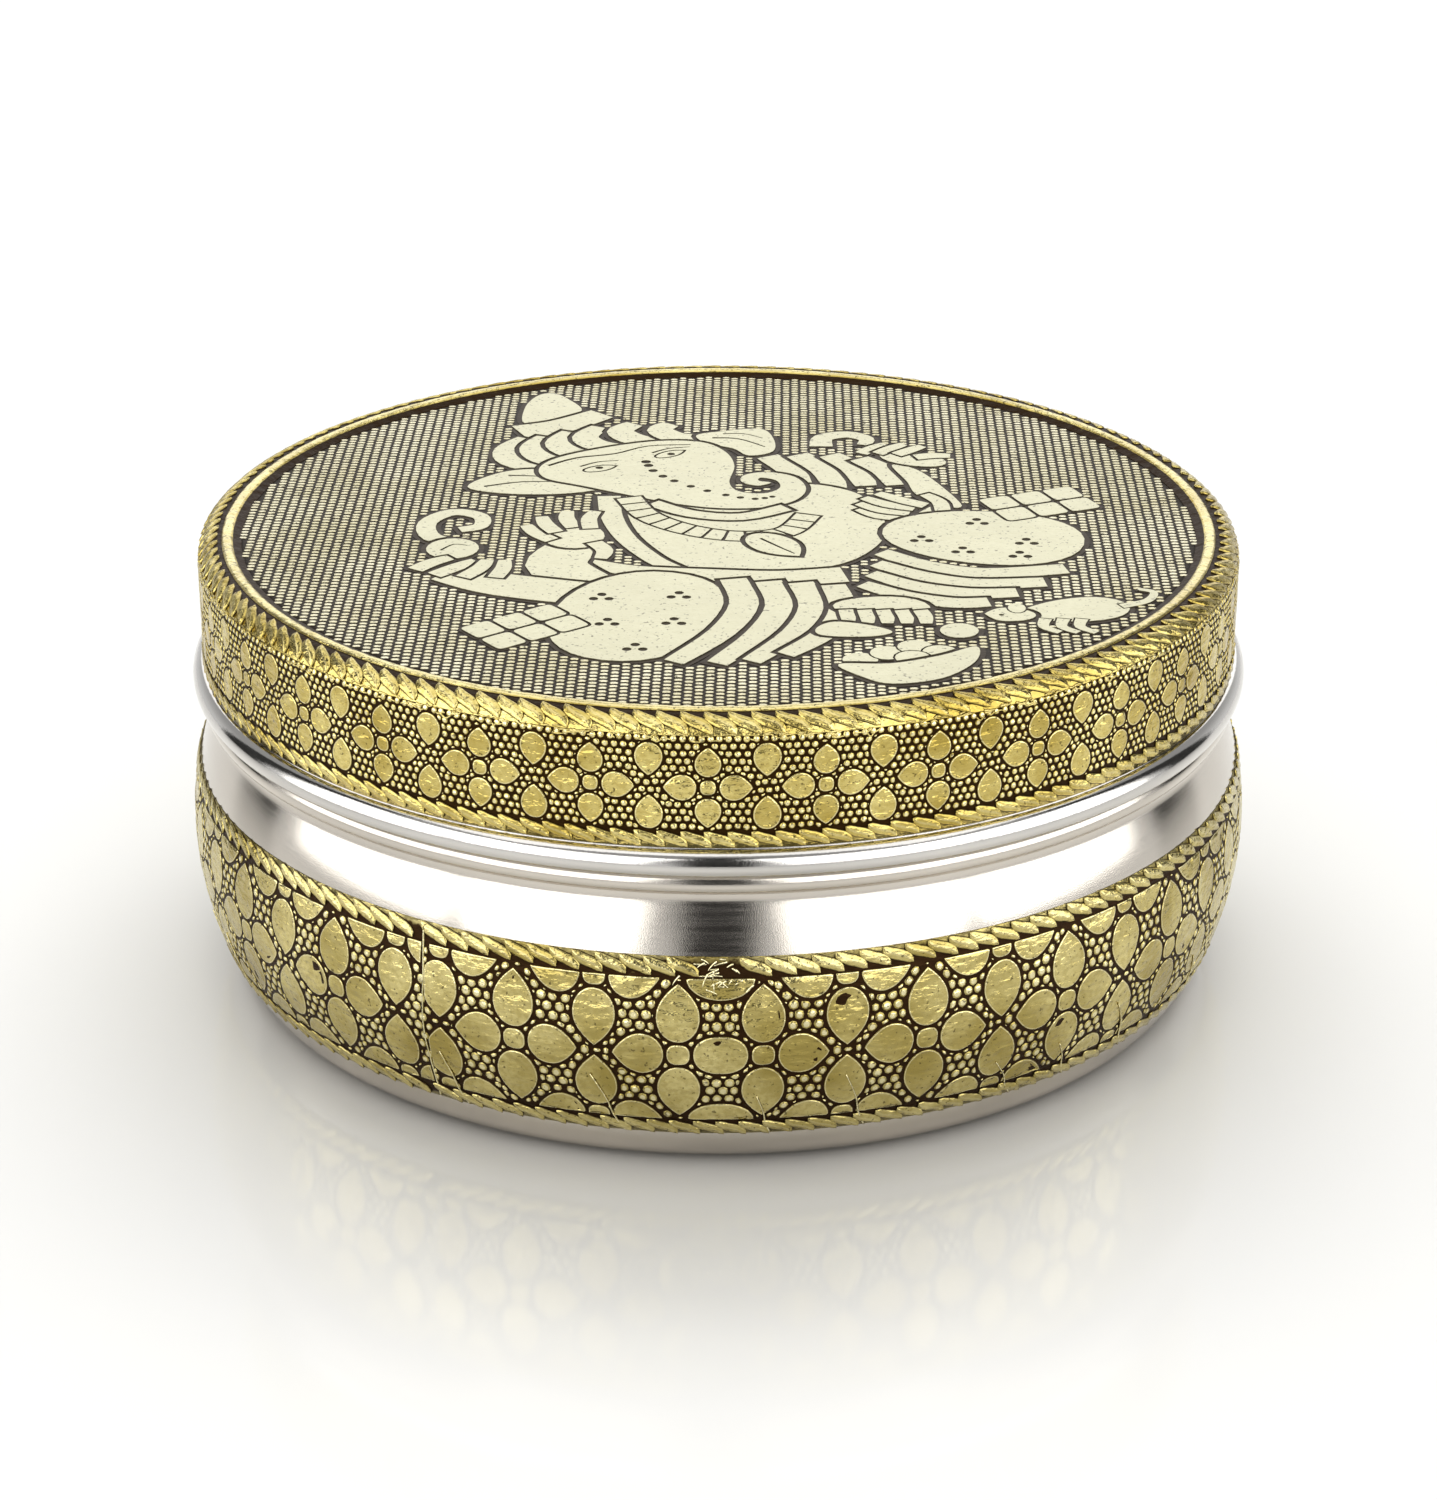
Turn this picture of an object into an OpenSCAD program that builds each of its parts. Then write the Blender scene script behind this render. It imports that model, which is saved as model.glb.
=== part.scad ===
// Round steel spice box (masala dabba) wrapped in embossed foil.
// Spun body and lift-off lid, seven inner bowls and a spoon.
// Millimetres, +Z up, origin at the centre of the base.

/* [Box body] */
// outer diameter of the bare steel belly
belly_d = 189.2; // [186:0.1:200]
// height of the widest point above the base
belly_z = 28.5; // [27.5:0.25:29]
// radius of the belly's curve, seen from the side
belly_r = 52; // [50:0.5:54]
// radius of the rounded edge of the base
base_corner_r = 6; // [4:0.5:8]
// sheet thickness of the body and the lid
wall = 0.6; // [0.5:0.05:0.8]

/* [Neck and collar] */
// diameter at the waist of the neck
neck_d = 180.6; // [180:0.1:181]
// radius of the concave neck
neck_r = 4; // [3:0.25:5]
// height of the middle of the rolled bead that the lid comes down to
bead_z = 52.7; // [52.5:0.1:52.8]
// radius of the rolled bead
bead_r = 2.1; // [1.6:0.1:2.1]
// outer diameter of the collar inside the lid
collar_d = 181; // [180.4:0.1:181]
// height of the collar's top edge
collar_z = 72; // [66:0.5:74]
// radius of the curled edge on the collar
curl_r = 0.6; // [0.4:0.05:0.7]

/* [Lid] */
// outer diameter of the lid's steel side
lid_d = 183; // [183:0.1:184]
// height of the lid's bottom edge when closed
lid_z = 54.9; // [54.9:0.05:55.2]
// height of the steel top of the lid's raised edge
lid_top_z = 80.5; // [79:0.25:84]
// radius of the lid's rounded top edge
lid_edge_r = 3.5; // [3:0.25:4.5]
// depth of the shallow dish in the top
dish_depth = 0.6; // [0.3:0.05:0.9]
// diameter of the dish
dish_d = 168; // [160:1:170]
// outer diameter of the bare rim
rim_d = 187.4; // [186.6:0.1:188]
// radius of the rim's convex curve
rim_r = 2.5; // [2.2:0.1:2.6]

/* [Foil] */
// foil thickness with its embossing
foil = 0.38; // [0.3:0.02:0.5]
// height of the lower edge of the belly foil
band_low_z = 7.2; // [6:0.2:9]
// height of the upper edge of the belly foil
band_high_z = 41; // [38:0.2:43]
// height of the lower edge of the lid's side foil
side_low_z = 59.1; // [59:0.1:60]
// radius of the rope borders on the foil
rope_r = 0.8; // [0.6:0.05:0.9]
// how far the ropes stand out of the foil
rope_out = 0.25; // [0.1:0.05:0.3]

/* [Bowls] */
// outer diameter of each bowl over its rolled rim
bowl_d = 57.6; // [52:0.1:57.6]
// height of each bowl
bowl_h = 45; // [30:0.5:46]
// distance from the middle bowl to each outer bowl
bowl_pitch = 59.2; // [58.4:0.1:59.4]
// sheet thickness of the bowls
bowl_wall = 0.5; // [0.4:0.05:0.6]
// radius of a bowl's bottom corner
bowl_corner_r = 7; // [4:0.5:9]
// radius of a bowl's rolled rim
bowl_rim_r = 0.7; // [0.6:0.05:0.9]
// clearance under each bowl
bowl_gap = 0.05; // [0.02:0.01:0.2]

/* [Spoon] */
// diameter of the spoon's round head
spoon_head_d = 25; // [20:0.5:28]
// depth of the head
spoon_depth = 6; // [4:0.5:7]
// length of the handle beyond the head
spoon_handle_l = 73; // [60:1:73]
// width of the handle at its end
spoon_end_w = 10; // [7:0.5:12]
// width of the handle at the head
spoon_neck_w = 5; // [4:0.5:6]
// sheet thickness of the spoon
spoon_t = 0.9; // [0.7:0.1:1.2]
// direction that the handle points in, round the box
spoon_angle = 0; // [0:60:300]

/* [Hidden] */
skin_gap = 0.02;
belly_x = belly_d / 2 - belly_r;
base_x = belly_x + sqrt(pow(belly_r - base_corner_r, 2) - pow(belly_z - base_corner_r, 2));
base_sin = (belly_z - base_corner_r) / (belly_r - base_corner_r);
neck_x = neck_d / 2 + neck_r;
neck_z = belly_z + sqrt(pow(belly_r + neck_r, 2) - pow(neck_x - belly_x, 2));
neck_sin = (neck_z - belly_z) / (belly_r + neck_r);
bead_x = collar_d / 2 - 0.3;
edge_x = lid_d / 2 - lid_edge_r;
edge_z = lid_top_z - lid_edge_r;
rim_x = rim_d / 2 - rim_r;
rim_z = lid_z + 1.5;
step_w = 1.5;
rope_reach = lid_edge_r + foil + rope_out - rope_r;
bowl_z = wall + bowl_gap;
spoon_z = bowl_z + bowl_h + 0.3;
spoon_ball_r = (pow(spoon_head_d / 2, 2) + pow(spoon_depth, 2)) / (2 * spoon_depth);
$fn = 180;

module span(x0, x1, z0, z1) {
  translate([x0, z0]) square([x1 - x0, z1 - z0]);
}

module disc(x, z, r) {
  translate([x, z]) circle(r = r);
}

// half section of the body, all of it moved inwards by t (outwards when t is negative)
module belly_section(t) {
  low_z = belly_z - (belly_r - t) * base_sin;
  high_z = belly_z + (belly_r - t) * neck_sin;
  span(0, base_x, t, belly_z);
  intersection() {
    disc(base_x, base_corner_r, base_corner_r - t);
    span(0, belly_d, t, belly_z);
  }
  intersection() {
    disc(belly_x, belly_z, belly_r - t);
    span(0, belly_d, low_z, high_z);
  }
  difference() {
    span(0, neck_x, high_z - 0.01, neck_z);
    disc(neck_x, neck_z, neck_r + t);
  }
}

module body_section(t) {
  belly_section(t);
  span(0, neck_x - neck_r - t, neck_z - 0.01, bead_z);
  span(0, collar_d / 2 - t, bead_z - 0.01, collar_z);
  disc(bead_x, bead_z, bead_r - t);
}

module lid_side(x, z0) {
  span(0, x, z0, edge_z);
}

// half section of the lid's top, moved outwards by t, from height z0 up
module lid_top(t, z0) {
  difference() {
    union() {
      span(0, edge_x, z0, lid_top_z + t);
      intersection() {
        disc(edge_x, edge_z, lid_edge_r + t);
        span(edge_x - 0.01, lid_d, z0, lid_top_z + lid_edge_r);
      }
    }
    polygon([
      [0, lid_top_z + t + 1],
      [dish_d / 2 + step_w, lid_top_z + t + 1],
      [dish_d / 2 + step_w, lid_top_z + t],
      [dish_d / 2, lid_top_z + t - dish_depth],
      [0, lid_top_z + t - dish_depth]
    ]);
  }
}

module box_shell() {
  color([0.78, 0.78, 0.79])
    rotate_extrude() {
      difference() {
        body_section(0);
        body_section(wall);
        span(0, belly_d, collar_z - curl_r, collar_z + 1);
      }
      disc(collar_d / 2 - curl_r, collar_z - curl_r, curl_r);
    }
}

module box_foil_band() {
  color([0.72, 0.64, 0.32])
    rotate_extrude() {
      difference() {
        intersection() {
          belly_section(-foil);
          span(0, belly_d, band_low_z, band_high_z);
        }
        belly_section(-skin_gap);
      }
      rope_on_belly(band_low_z + rope_r + 0.2);
      rope_on_belly(band_high_z - rope_r - 0.2);
    }
}

// rope border standing out of the belly foil, with its middle at height z
module rope_on_belly(z) {
  away = belly_r + foil + rope_out - rope_r;
  difference() {
    disc(belly_x + sqrt(pow(away, 2) - pow(z - belly_z, 2)), z, rope_r);
    disc(belly_x, belly_z, belly_r + skin_gap);
  }
}

module lid_shell() {
  color([0.8, 0.8, 0.81])
    rotate_extrude()
      difference() {
        union() {
          lid_side(lid_d / 2, lid_z);
          lid_top(0, edge_z - 0.01);
          intersection() {
            disc(rim_x, rim_z, rim_r);
            span(0, rim_d, lid_z, rim_z + rim_r);
          }
        }
        lid_side(lid_d / 2 - wall, lid_z - 1);
        lid_top(-wall, edge_z - 0.02);
      }
}

module lid_side_foil() {
  color([0.78, 0.62, 0.2])
    rotate_extrude()
      difference() {
        union() {
          span(0, lid_d / 2 + foil, side_low_z, edge_z - 0.1);
          disc(lid_d / 2 + foil + rope_out - rope_r, side_low_z + rope_r + 0.2, rope_r);
          disc(lid_d / 2 + foil + rope_out - rope_r, edge_z - rope_r - 0.3, rope_r);
        }
        span(0, lid_d / 2 + skin_gap, lid_z, lid_top_z);
      }
}

module lid_top_foil() {
  color([0.8, 0.7, 0.34])
    rotate_extrude() {
      difference() {
        lid_top(foil, edge_z);
        lid_top(skin_gap, edge_z - 0.01);
      }
      difference() {
        union() {
          disc(edge_x + rope_reach * cos(60), edge_z + rope_reach * sin(60), rope_r);
          disc(dish_d / 2 + step_w + 1, lid_top_z + foil + rope_out - rope_r, rope_r);
        }
        lid_top(skin_gap, 0);
      }
    }
}

// half section of a bowl, moved inwards by t
module bowl_section(t) {
  r = bowl_d / 2 - 1.3 * bowl_rim_r;
  span(0, r - bowl_corner_r, t, bowl_h);
  span(0, r - t, bowl_corner_r, bowl_h);
  disc(r - bowl_corner_r, bowl_corner_r, bowl_corner_r - t);
}

module bowl(x, y) {
  color([0.82, 0.82, 0.83])
    translate([x, y, bowl_z])
      rotate_extrude() {
        difference() {
          bowl_section(0);
          bowl_section(bowl_wall);
          span(0, bowl_d / 2 - 1.3 * bowl_rim_r - bowl_wall, bowl_h - 1, bowl_h + 1);
          span(0, bowl_d, bowl_h - bowl_rim_r, bowl_h + 1);
        }
        disc(bowl_d / 2 - bowl_rim_r, bowl_h - bowl_rim_r, bowl_rim_r);
      }
}

module outer_bowl(i) {
  bowl(bowl_pitch * cos(60 * i), bowl_pitch * sin(60 * i));
}

module spoon_handle() {
  start = spoon_head_d / 2 - 1;
  stop = spoon_head_d / 2 + spoon_handle_l - spoon_end_w / 2;
  linear_extrude(height = spoon_t) {
    polygon([
      [start, -spoon_neck_w / 2],
      [stop, -spoon_end_w / 2],
      [stop, spoon_end_w / 2],
      [start, spoon_neck_w / 2]
    ]);
    translate([stop, 0]) circle(d = spoon_end_w);
  }
}

module spoon_head() {
  intersection() {
    difference() {
      translate([0, 0, spoon_ball_r - spoon_depth]) sphere(r = spoon_ball_r);
      translate([0, 0, spoon_ball_r - spoon_depth]) sphere(r = spoon_ball_r - spoon_t);
    }
    translate([0, 0, -spoon_depth - 1]) cylinder(h = spoon_depth + 1 + spoon_t, d = spoon_head_d + 4);
  }
}

module spice_spoon() {
  color([0.83, 0.83, 0.84])
    translate([0, 0, spoon_z])
      rotate([0, 0, spoon_angle]) {
        spoon_head();
        difference() {
          spoon_handle();
          translate([0, 0, spoon_ball_r - spoon_depth]) sphere(r = spoon_ball_r - spoon_t / 2);
        }
      }
}

box_shell();
box_foil_band();
lid_shell();
lid_side_foil();
lid_top_foil();
bowl(0, 0);  // bowl_center
outer_bowl(0);  // bowl_1
outer_bowl(1);  // bowl_2
outer_bowl(2);  // bowl_3
outer_bowl(3);  // bowl_4
outer_bowl(4);  // bowl_5
outer_bowl(5);  // bowl_6
spice_spoon();
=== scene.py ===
import math

import bpy
import numpy as np
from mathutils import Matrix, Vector, geometry


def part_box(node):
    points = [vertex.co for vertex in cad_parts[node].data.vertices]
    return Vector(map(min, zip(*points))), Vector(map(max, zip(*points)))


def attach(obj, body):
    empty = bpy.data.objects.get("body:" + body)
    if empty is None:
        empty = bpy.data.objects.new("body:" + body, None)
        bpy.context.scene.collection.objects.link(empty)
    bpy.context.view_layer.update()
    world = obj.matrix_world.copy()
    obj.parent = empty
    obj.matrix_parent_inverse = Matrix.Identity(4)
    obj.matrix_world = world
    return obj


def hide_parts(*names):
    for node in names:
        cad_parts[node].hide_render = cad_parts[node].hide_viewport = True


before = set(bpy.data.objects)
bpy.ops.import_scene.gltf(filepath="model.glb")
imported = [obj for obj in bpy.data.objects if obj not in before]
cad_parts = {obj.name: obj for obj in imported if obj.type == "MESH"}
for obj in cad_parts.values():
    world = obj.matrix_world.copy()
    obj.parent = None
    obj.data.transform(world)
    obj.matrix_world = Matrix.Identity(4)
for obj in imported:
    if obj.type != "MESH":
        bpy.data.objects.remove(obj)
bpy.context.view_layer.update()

# --- Sizes, in millimetres: boxes from model.glb, and the same sections as the CAD ---
MM = 0.001


def box_mm(node):
    low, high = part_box(node)
    return [v / MM for v in low], [v / MM for v in high]


COLLAR_TOP = box_mm("box_shell")[1][2]
BAND_LOW, BAND_HIGH = box_mm("box_foil_band")
LID_LOW, LID_HIGH = box_mm("lid_shell")
SIDE_LOW = box_mm("lid_side_foil")[0][2]
BOWL_LOW, BOWL_HIGH = box_mm("bowl_center")
SPOON_HIGH = box_mm("spice_spoon")[1]

WALL = 0.6
FOIL = 0.38
BELLY_R = 52.0
BELLY_Z = 28.5
BELLY_TOP_R = 94.6
BELLY_X = BELLY_TOP_R - BELLY_R
BASE_CORNER = 6.0
NECK_R = 4.0
WAIST = 90.3
BEAD_Z = 52.7
BEAD_R = 2.1
COLLAR_R = 90.5
CURL = 0.6
LID_R = 91.5
LID_Z = LID_LOW[2]
LID_TOP = LID_HIGH[2]
LID_EDGE = 3.5
RIM_X = 91.2
RIM_R = 2.5
RIM_Z = LID_Z + 1.5
DISH_R = 84.0
DISH_STEP = 1.5
DISH_DEPTH = 0.6

# The embossed pattern: repeats round the belly and round the lid
BELLY_PITCH_DEG = 16.5
BELLY_RADIUS = 95.0
BELLY_PITCH = math.radians(BELLY_PITCH_DEG) * BELLY_RADIUS
HALF_PERIOD = 13.5
SIDE_REPEATS = 31
SIDE_RADIUS = 91.7
SIDE_PITCH = 2 * math.pi * SIDE_RADIUS / SIDE_REPEATS

rng = np.random.default_rng(7)


# --- Flat outlines, as arrays of points going anticlockwise ---
def turned(points, degrees):
    a = math.radians(degrees)
    return points @ np.array([[math.cos(a), math.sin(a)], [-math.sin(a), math.cos(a)]])


def placed(points, x, y, degrees=0.0):
    return turned(points, degrees) + [x, y]


def anticlockwise(points):
    x, y = points[:, 0], points[:, 1]
    area = np.sum(x * np.roll(y, -1) - np.roll(x, -1) * y)
    return points if area > 0 else points[::-1]


def leaf(length, width, widest=0.42):
    """A petal from (0, 0), blunt there, to its pointed end at (length, 0)."""
    steps, tip = 8, 2.1
    inner = widest * (1 - np.cos(np.linspace(0, math.pi / 2, steps)))
    outer = np.linspace(widest, 1, steps)[1:]
    u = np.concatenate([inner, outer])
    rise = np.sqrt(np.clip(1 - (1 - np.minimum(u, widest) / widest) ** 2, 0, 1))
    fall = 1 - (np.clip(u - widest, 0, 1) / (1 - widest)) ** tip
    half = width / 2 * np.where(u < widest, rise, fall)
    upper = np.stack([u * length, half], 1)
    lower = np.stack([u * length, -half], 1)[1:-1]
    return np.concatenate([lower, upper[::-1]])


def egg(a, b, steps, skew=0.0, power=2.0):
    """A rounded form with half sizes a and b; power over 2 squares it up, skew makes one end fuller."""
    t = np.linspace(0, 2 * math.pi, steps, endpoint=False)
    c, s = np.cos(t), np.sin(t)
    x = np.sign(c) * np.abs(c) ** (2 / power) * a
    y = np.sign(s) * np.abs(s) ** (2 / power) * b
    return np.stack([x, y * (1 + skew * c)], 1)


def smooth(points, closed=True, steps=5):
    """A smooth curve through the points."""
    p = np.asarray(points, float)
    n = len(p)
    spans = range(n) if closed else range(n - 1)
    out = []
    for i in spans:
        if closed:
            a, b, c, d = (p[(i + k) % n] for k in (-1, 0, 1, 2))
        else:
            a, b, c, d = (p[min(max(i + k, 0), n - 1)] for k in (-1, 0, 1, 2))
        for u in np.linspace(0, 1, steps, endpoint=False):
            bend = (2 * a - 5 * b + 4 * c - d) * u**2
            twist = (3 * b - a - 3 * c + d) * u**3
            out.append(0.5 * (2 * b + (c - a) * u + bend + twist))
    if not closed:
        out.append(p[-1])
    return np.array(out)


def ribbon(points, start, end, bulge=0.0, steps=4):
    """A band along a smooth path. Its width goes from start to end, wider by bulge in the middle."""
    path = smooth(points, closed=False, steps=steps)
    along = np.gradient(path, axis=0)
    along /= np.linalg.norm(along, axis=1)[:, None] + 1e-9
    side = np.stack([-along[:, 1], along[:, 0]], 1)
    u = np.linspace(0, 1, len(path))
    half = ((start + (end - start) * u) / 2 + bulge * np.sin(math.pi * u))[:, None]
    return anticlockwise(np.concatenate([path - side * half, (path + side * half)[::-1]]))


def grown(outline, d):
    """The outline moved outwards by d along its own normals (inwards when d is negative)."""
    before = outline - np.roll(outline, 1, 0)
    after = np.roll(outline, -1, 0) - outline
    before /= np.linalg.norm(before, axis=1)[:, None] + 1e-9
    after /= np.linalg.norm(after, axis=1)[:, None] + 1e-9
    n = np.stack([before[:, 1] + after[:, 1], -before[:, 0] - after[:, 0]], 1)
    size = np.linalg.norm(n, axis=1)[:, None]
    return outline + n / np.maximum(size, 0.6) * d * np.minimum(2 / np.maximum(size, 0.6), 1.6)


def shrunk(outline, share):
    c = outline.mean(0)
    return c + (outline - c) * share


def cut(outline, point, normal):
    """The part of a convex outline on the side of the line that the normal points to."""
    d = (outline - point) @ normal
    if d.min() >= 0:
        return outline
    out = []
    for i in range(len(outline)):
        j = (i + 1) % len(outline)
        if d[i] >= 0:
            out.append(outline[i])
        if (d[i] >= 0) != (d[j] >= 0):
            out.append(outline[i] + (outline[j] - outline[i]) * d[i] / (d[i] - d[j]))
    return np.array(out)


def same_count(outline, count):
    """The outline again with a given number of points, at equal steps along it."""
    closed = np.concatenate([outline, outline[:1]])
    length = np.concatenate([[0], np.cumsum(np.linalg.norm(np.diff(closed, axis=0), axis=1))])
    at = np.linspace(0, length[-1], count, endpoint=False)
    return np.stack([np.interp(at, length, closed[:, k]) for k in (0, 1)], 1)


def rounded_cell(polygon, widest):
    """A convex cell with its corners worn round, as a ring of points about its middle."""
    count = 8
    c = polygon.mean(0)
    edges = np.roll(polygon, -1, 0) - polygon
    normals = np.stack([edges[:, 1], -edges[:, 0]], 1)
    normals /= np.linalg.norm(normals, axis=1)[:, None] + 1e-9
    reach = np.einsum("ij,ij->i", normals, polygon - c)
    t = np.linspace(0, 2 * math.pi, count, endpoint=False)
    rays = np.stack([np.cos(t), np.sin(t)], 1)
    facing = rays @ normals.T
    r = np.where(facing > 1e-3, reach / np.maximum(facing, 1e-3), 1e3).min(1)
    soft = (0.5 * r + 0.25 * (np.roll(r, 1) + np.roll(r, -1))) * rng.uniform(0.9, 1.06, count)
    return c + rays * np.minimum(np.minimum(r, soft), widest)[:, None]


# --- Embossed relief ---
# Islands in flat foil coordinates (along, across, out), with a tone that is 0 in the dark
# grooves and 1 on the rubbed tops; over 0.9 it paints the tops pale, rubbed wear and a painted highlight. A
# ground sheet's back lies SKIN_BACK off the steel.
SKIN_BACK = 0.03


class Relief:
    """Islands of foil gathered into one mesh."""

    def __init__(self):
        self.points = []
        self.tones = []
        self.faces = []
        self.count = 0

    def add(self, points, tones, faces):
        self.points.append(np.asarray(points, float))
        self.tones.append(np.asarray(tones, float))
        self.faces.extend([i + self.count for i in f] for f in faces)
        self.count += len(points)

    def stack(self, rings, peak=None):
        """Rings of (outline, height, tone) from the foot up, with a peak (height, tone) or a flat cap."""
        n = len(rings[0][0])
        points = [np.column_stack([o, np.broadcast_to(h, n)]) for o, h, _ in rings]
        tones = [np.full(n, t) for _, _, t in rings]
        faces = []
        for k in range(len(rings) - 1):
            a, b = k * n, (k + 1) * n
            faces += [[a + i, a + (i + 1) % n, b + (i + 1) % n, b + i] for i in range(n)]
        last = (len(rings) - 1) * n
        if peak is None:
            faces.append([last + i for i in range(n)])
        else:
            middle = rings[-1][0].mean(0)
            points.append(np.array([[middle[0], middle[1], peak[0]]]))
            tones.append(np.array([peak[1]]))
            faces += [[last + i, last + (i + 1) % n, last + n] for i in range(n)]
        faces.append([n - 1 - i for i in range(n)])
        self.add(np.concatenate(points), np.concatenate(tones), faces)

    def grid(self, s, t, heights, tones):
        """A sheet right round the axis over the s and t values, as a thin closed skin."""
        ns, nt = len(s), len(t)
        ss, tt = np.meshgrid(s, t, indexing="ij")
        top = np.column_stack([ss.ravel(), tt.ravel(), heights.ravel()])
        back = np.column_stack([ss.ravel(), tt.ravel(), np.full(ns * nt, SKIN_BACK)])
        at = lambda i, j: (i % ns) * nt + j
        faces = []
        for i in range(ns):
            for j in range(nt - 1):
                quad = [at(i, j), at(i + 1, j), at(i + 1, j + 1), at(i, j + 1)]
                faces.append(quad)
                faces.append([v + ns * nt for v in quad[::-1]])
            for j, flip in ((0, 1), (nt - 1, -1)):
                edge = [at(i, j), at(i, j) + ns * nt, at(i + 1, j) + ns * nt, at(i + 1, j)]
                faces.append(edge[::flip])
        self.add(np.concatenate([top, back]), np.concatenate([tones.ravel(), np.zeros(ns * nt)]), faces)


def waves(x, y, size, seed):
    """Gentle seeded undulation of about unit height, with bumps of the given size."""
    count = 7
    r = np.random.default_rng(seed)
    out = np.zeros_like(x, dtype=float)
    for _ in range(count):
        a = r.uniform(0, 2 * math.pi)
        k = 2 * math.pi / (size * r.uniform(0.7, 1.6))
        out += np.sin(k * (x * math.cos(a) + y * math.sin(a)) + r.uniform(0, 2 * math.pi))
    return out / math.sqrt(count)


# --- Surfaces that carry a relief: each turns (along, across, out) into a place ---
def section_surface(section, radius):
    """Round the axis, on a half section given as points (r, z) from its foot up."""
    p = np.asarray(section, float)
    step = np.diff(p, axis=0)
    length = np.concatenate([[0], np.cumsum(np.linalg.norm(step, axis=1))])
    along = np.gradient(p, length, axis=0)
    normal = np.stack([along[:, 1], -along[:, 0]], 1)
    normal /= np.linalg.norm(normal, axis=1)[:, None]

    def place(q):
        s, t, h = q[:, 0], q[:, 1], q[:, 2]
        nr, nz = np.interp(t, length, normal[:, 0]), np.interp(t, length, normal[:, 1])
        r = np.interp(t, length, p[:, 0]) + nr * h
        z = np.interp(t, length, p[:, 1]) + nz * h
        a = s / radius
        return np.stack([r * np.sin(a), -r * np.cos(a), z], 1)

    def unroll(q):
        return np.stack([(q[:, 0] / radius / (2 * math.pi)) % 1.0, q[:, 1] / length[-1]], 1)

    return place, unroll, length[-1]


def arc(cx, cz, r, start, end, steps):
    a = np.radians(np.linspace(start, end, steps))
    return [(cx + r * math.cos(v), cz + r * math.sin(v)) for v in a]


def make_mesh(name, points, faces, tones=None, uv=None):
    """A mesh object from points in millimetres."""
    mesh = bpy.data.meshes.new(name)
    mesh.from_pydata((np.asarray(points) * MM).tolist(), [], faces)
    mesh.update()
    if tones is not None:
        layer = mesh.attributes.new("tone", "FLOAT", "POINT")
        layer.data.foreach_set("value", np.asarray(tones, np.float32))
    if uv is not None:
        layer = mesh.uv_layers.new(name="OFBake")
        corner = np.zeros(len(mesh.loops), np.int32)
        mesh.loops.foreach_get("vertex_index", corner)
        at = np.asarray(uv)[corner]
        start = np.zeros(len(mesh.polygons), np.int32)
        mesh.polygons.foreach_get("loop_start", start)
        total = np.zeros(len(mesh.polygons), np.int32)
        mesh.polygons.foreach_get("loop_total", total)
        owner = np.repeat(np.arange(len(start)), total)
        high = np.maximum.reduceat(at[:, 0], start)[owner]
        at[:, 0] = np.where(high - at[:, 0] > 0.5, at[:, 0] + 1, at[:, 0])
        at[:, 0] = np.clip(at[:, 0] * 0.998, 0, 1)
        layer.data.foreach_set("uv", at.astype(np.float32).ravel())
    mesh.polygons.foreach_set("use_smooth", np.ones(len(mesh.polygons), bool))
    obj = bpy.data.objects.new(name, mesh)
    bpy.context.scene.collection.objects.link(obj)
    return obj


def build(name, relief, surface, material, body, dents=None):
    """The relief wrapped on its surface, with its finish, riding on its body."""
    place, unroll, _ = surface
    q = np.concatenate(relief.points)
    tones = np.concatenate(relief.tones)
    if dents is not None:
        q = q.copy()
        q[:, 2] += dents(q, tones)
    obj = make_mesh(name, place(q), relief.faces, tones, unroll(q))
    return finished(obj, material, body)


def finished(obj, material, body):
    obj.data.materials.append(material)
    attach(obj, body)
    return obj


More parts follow.
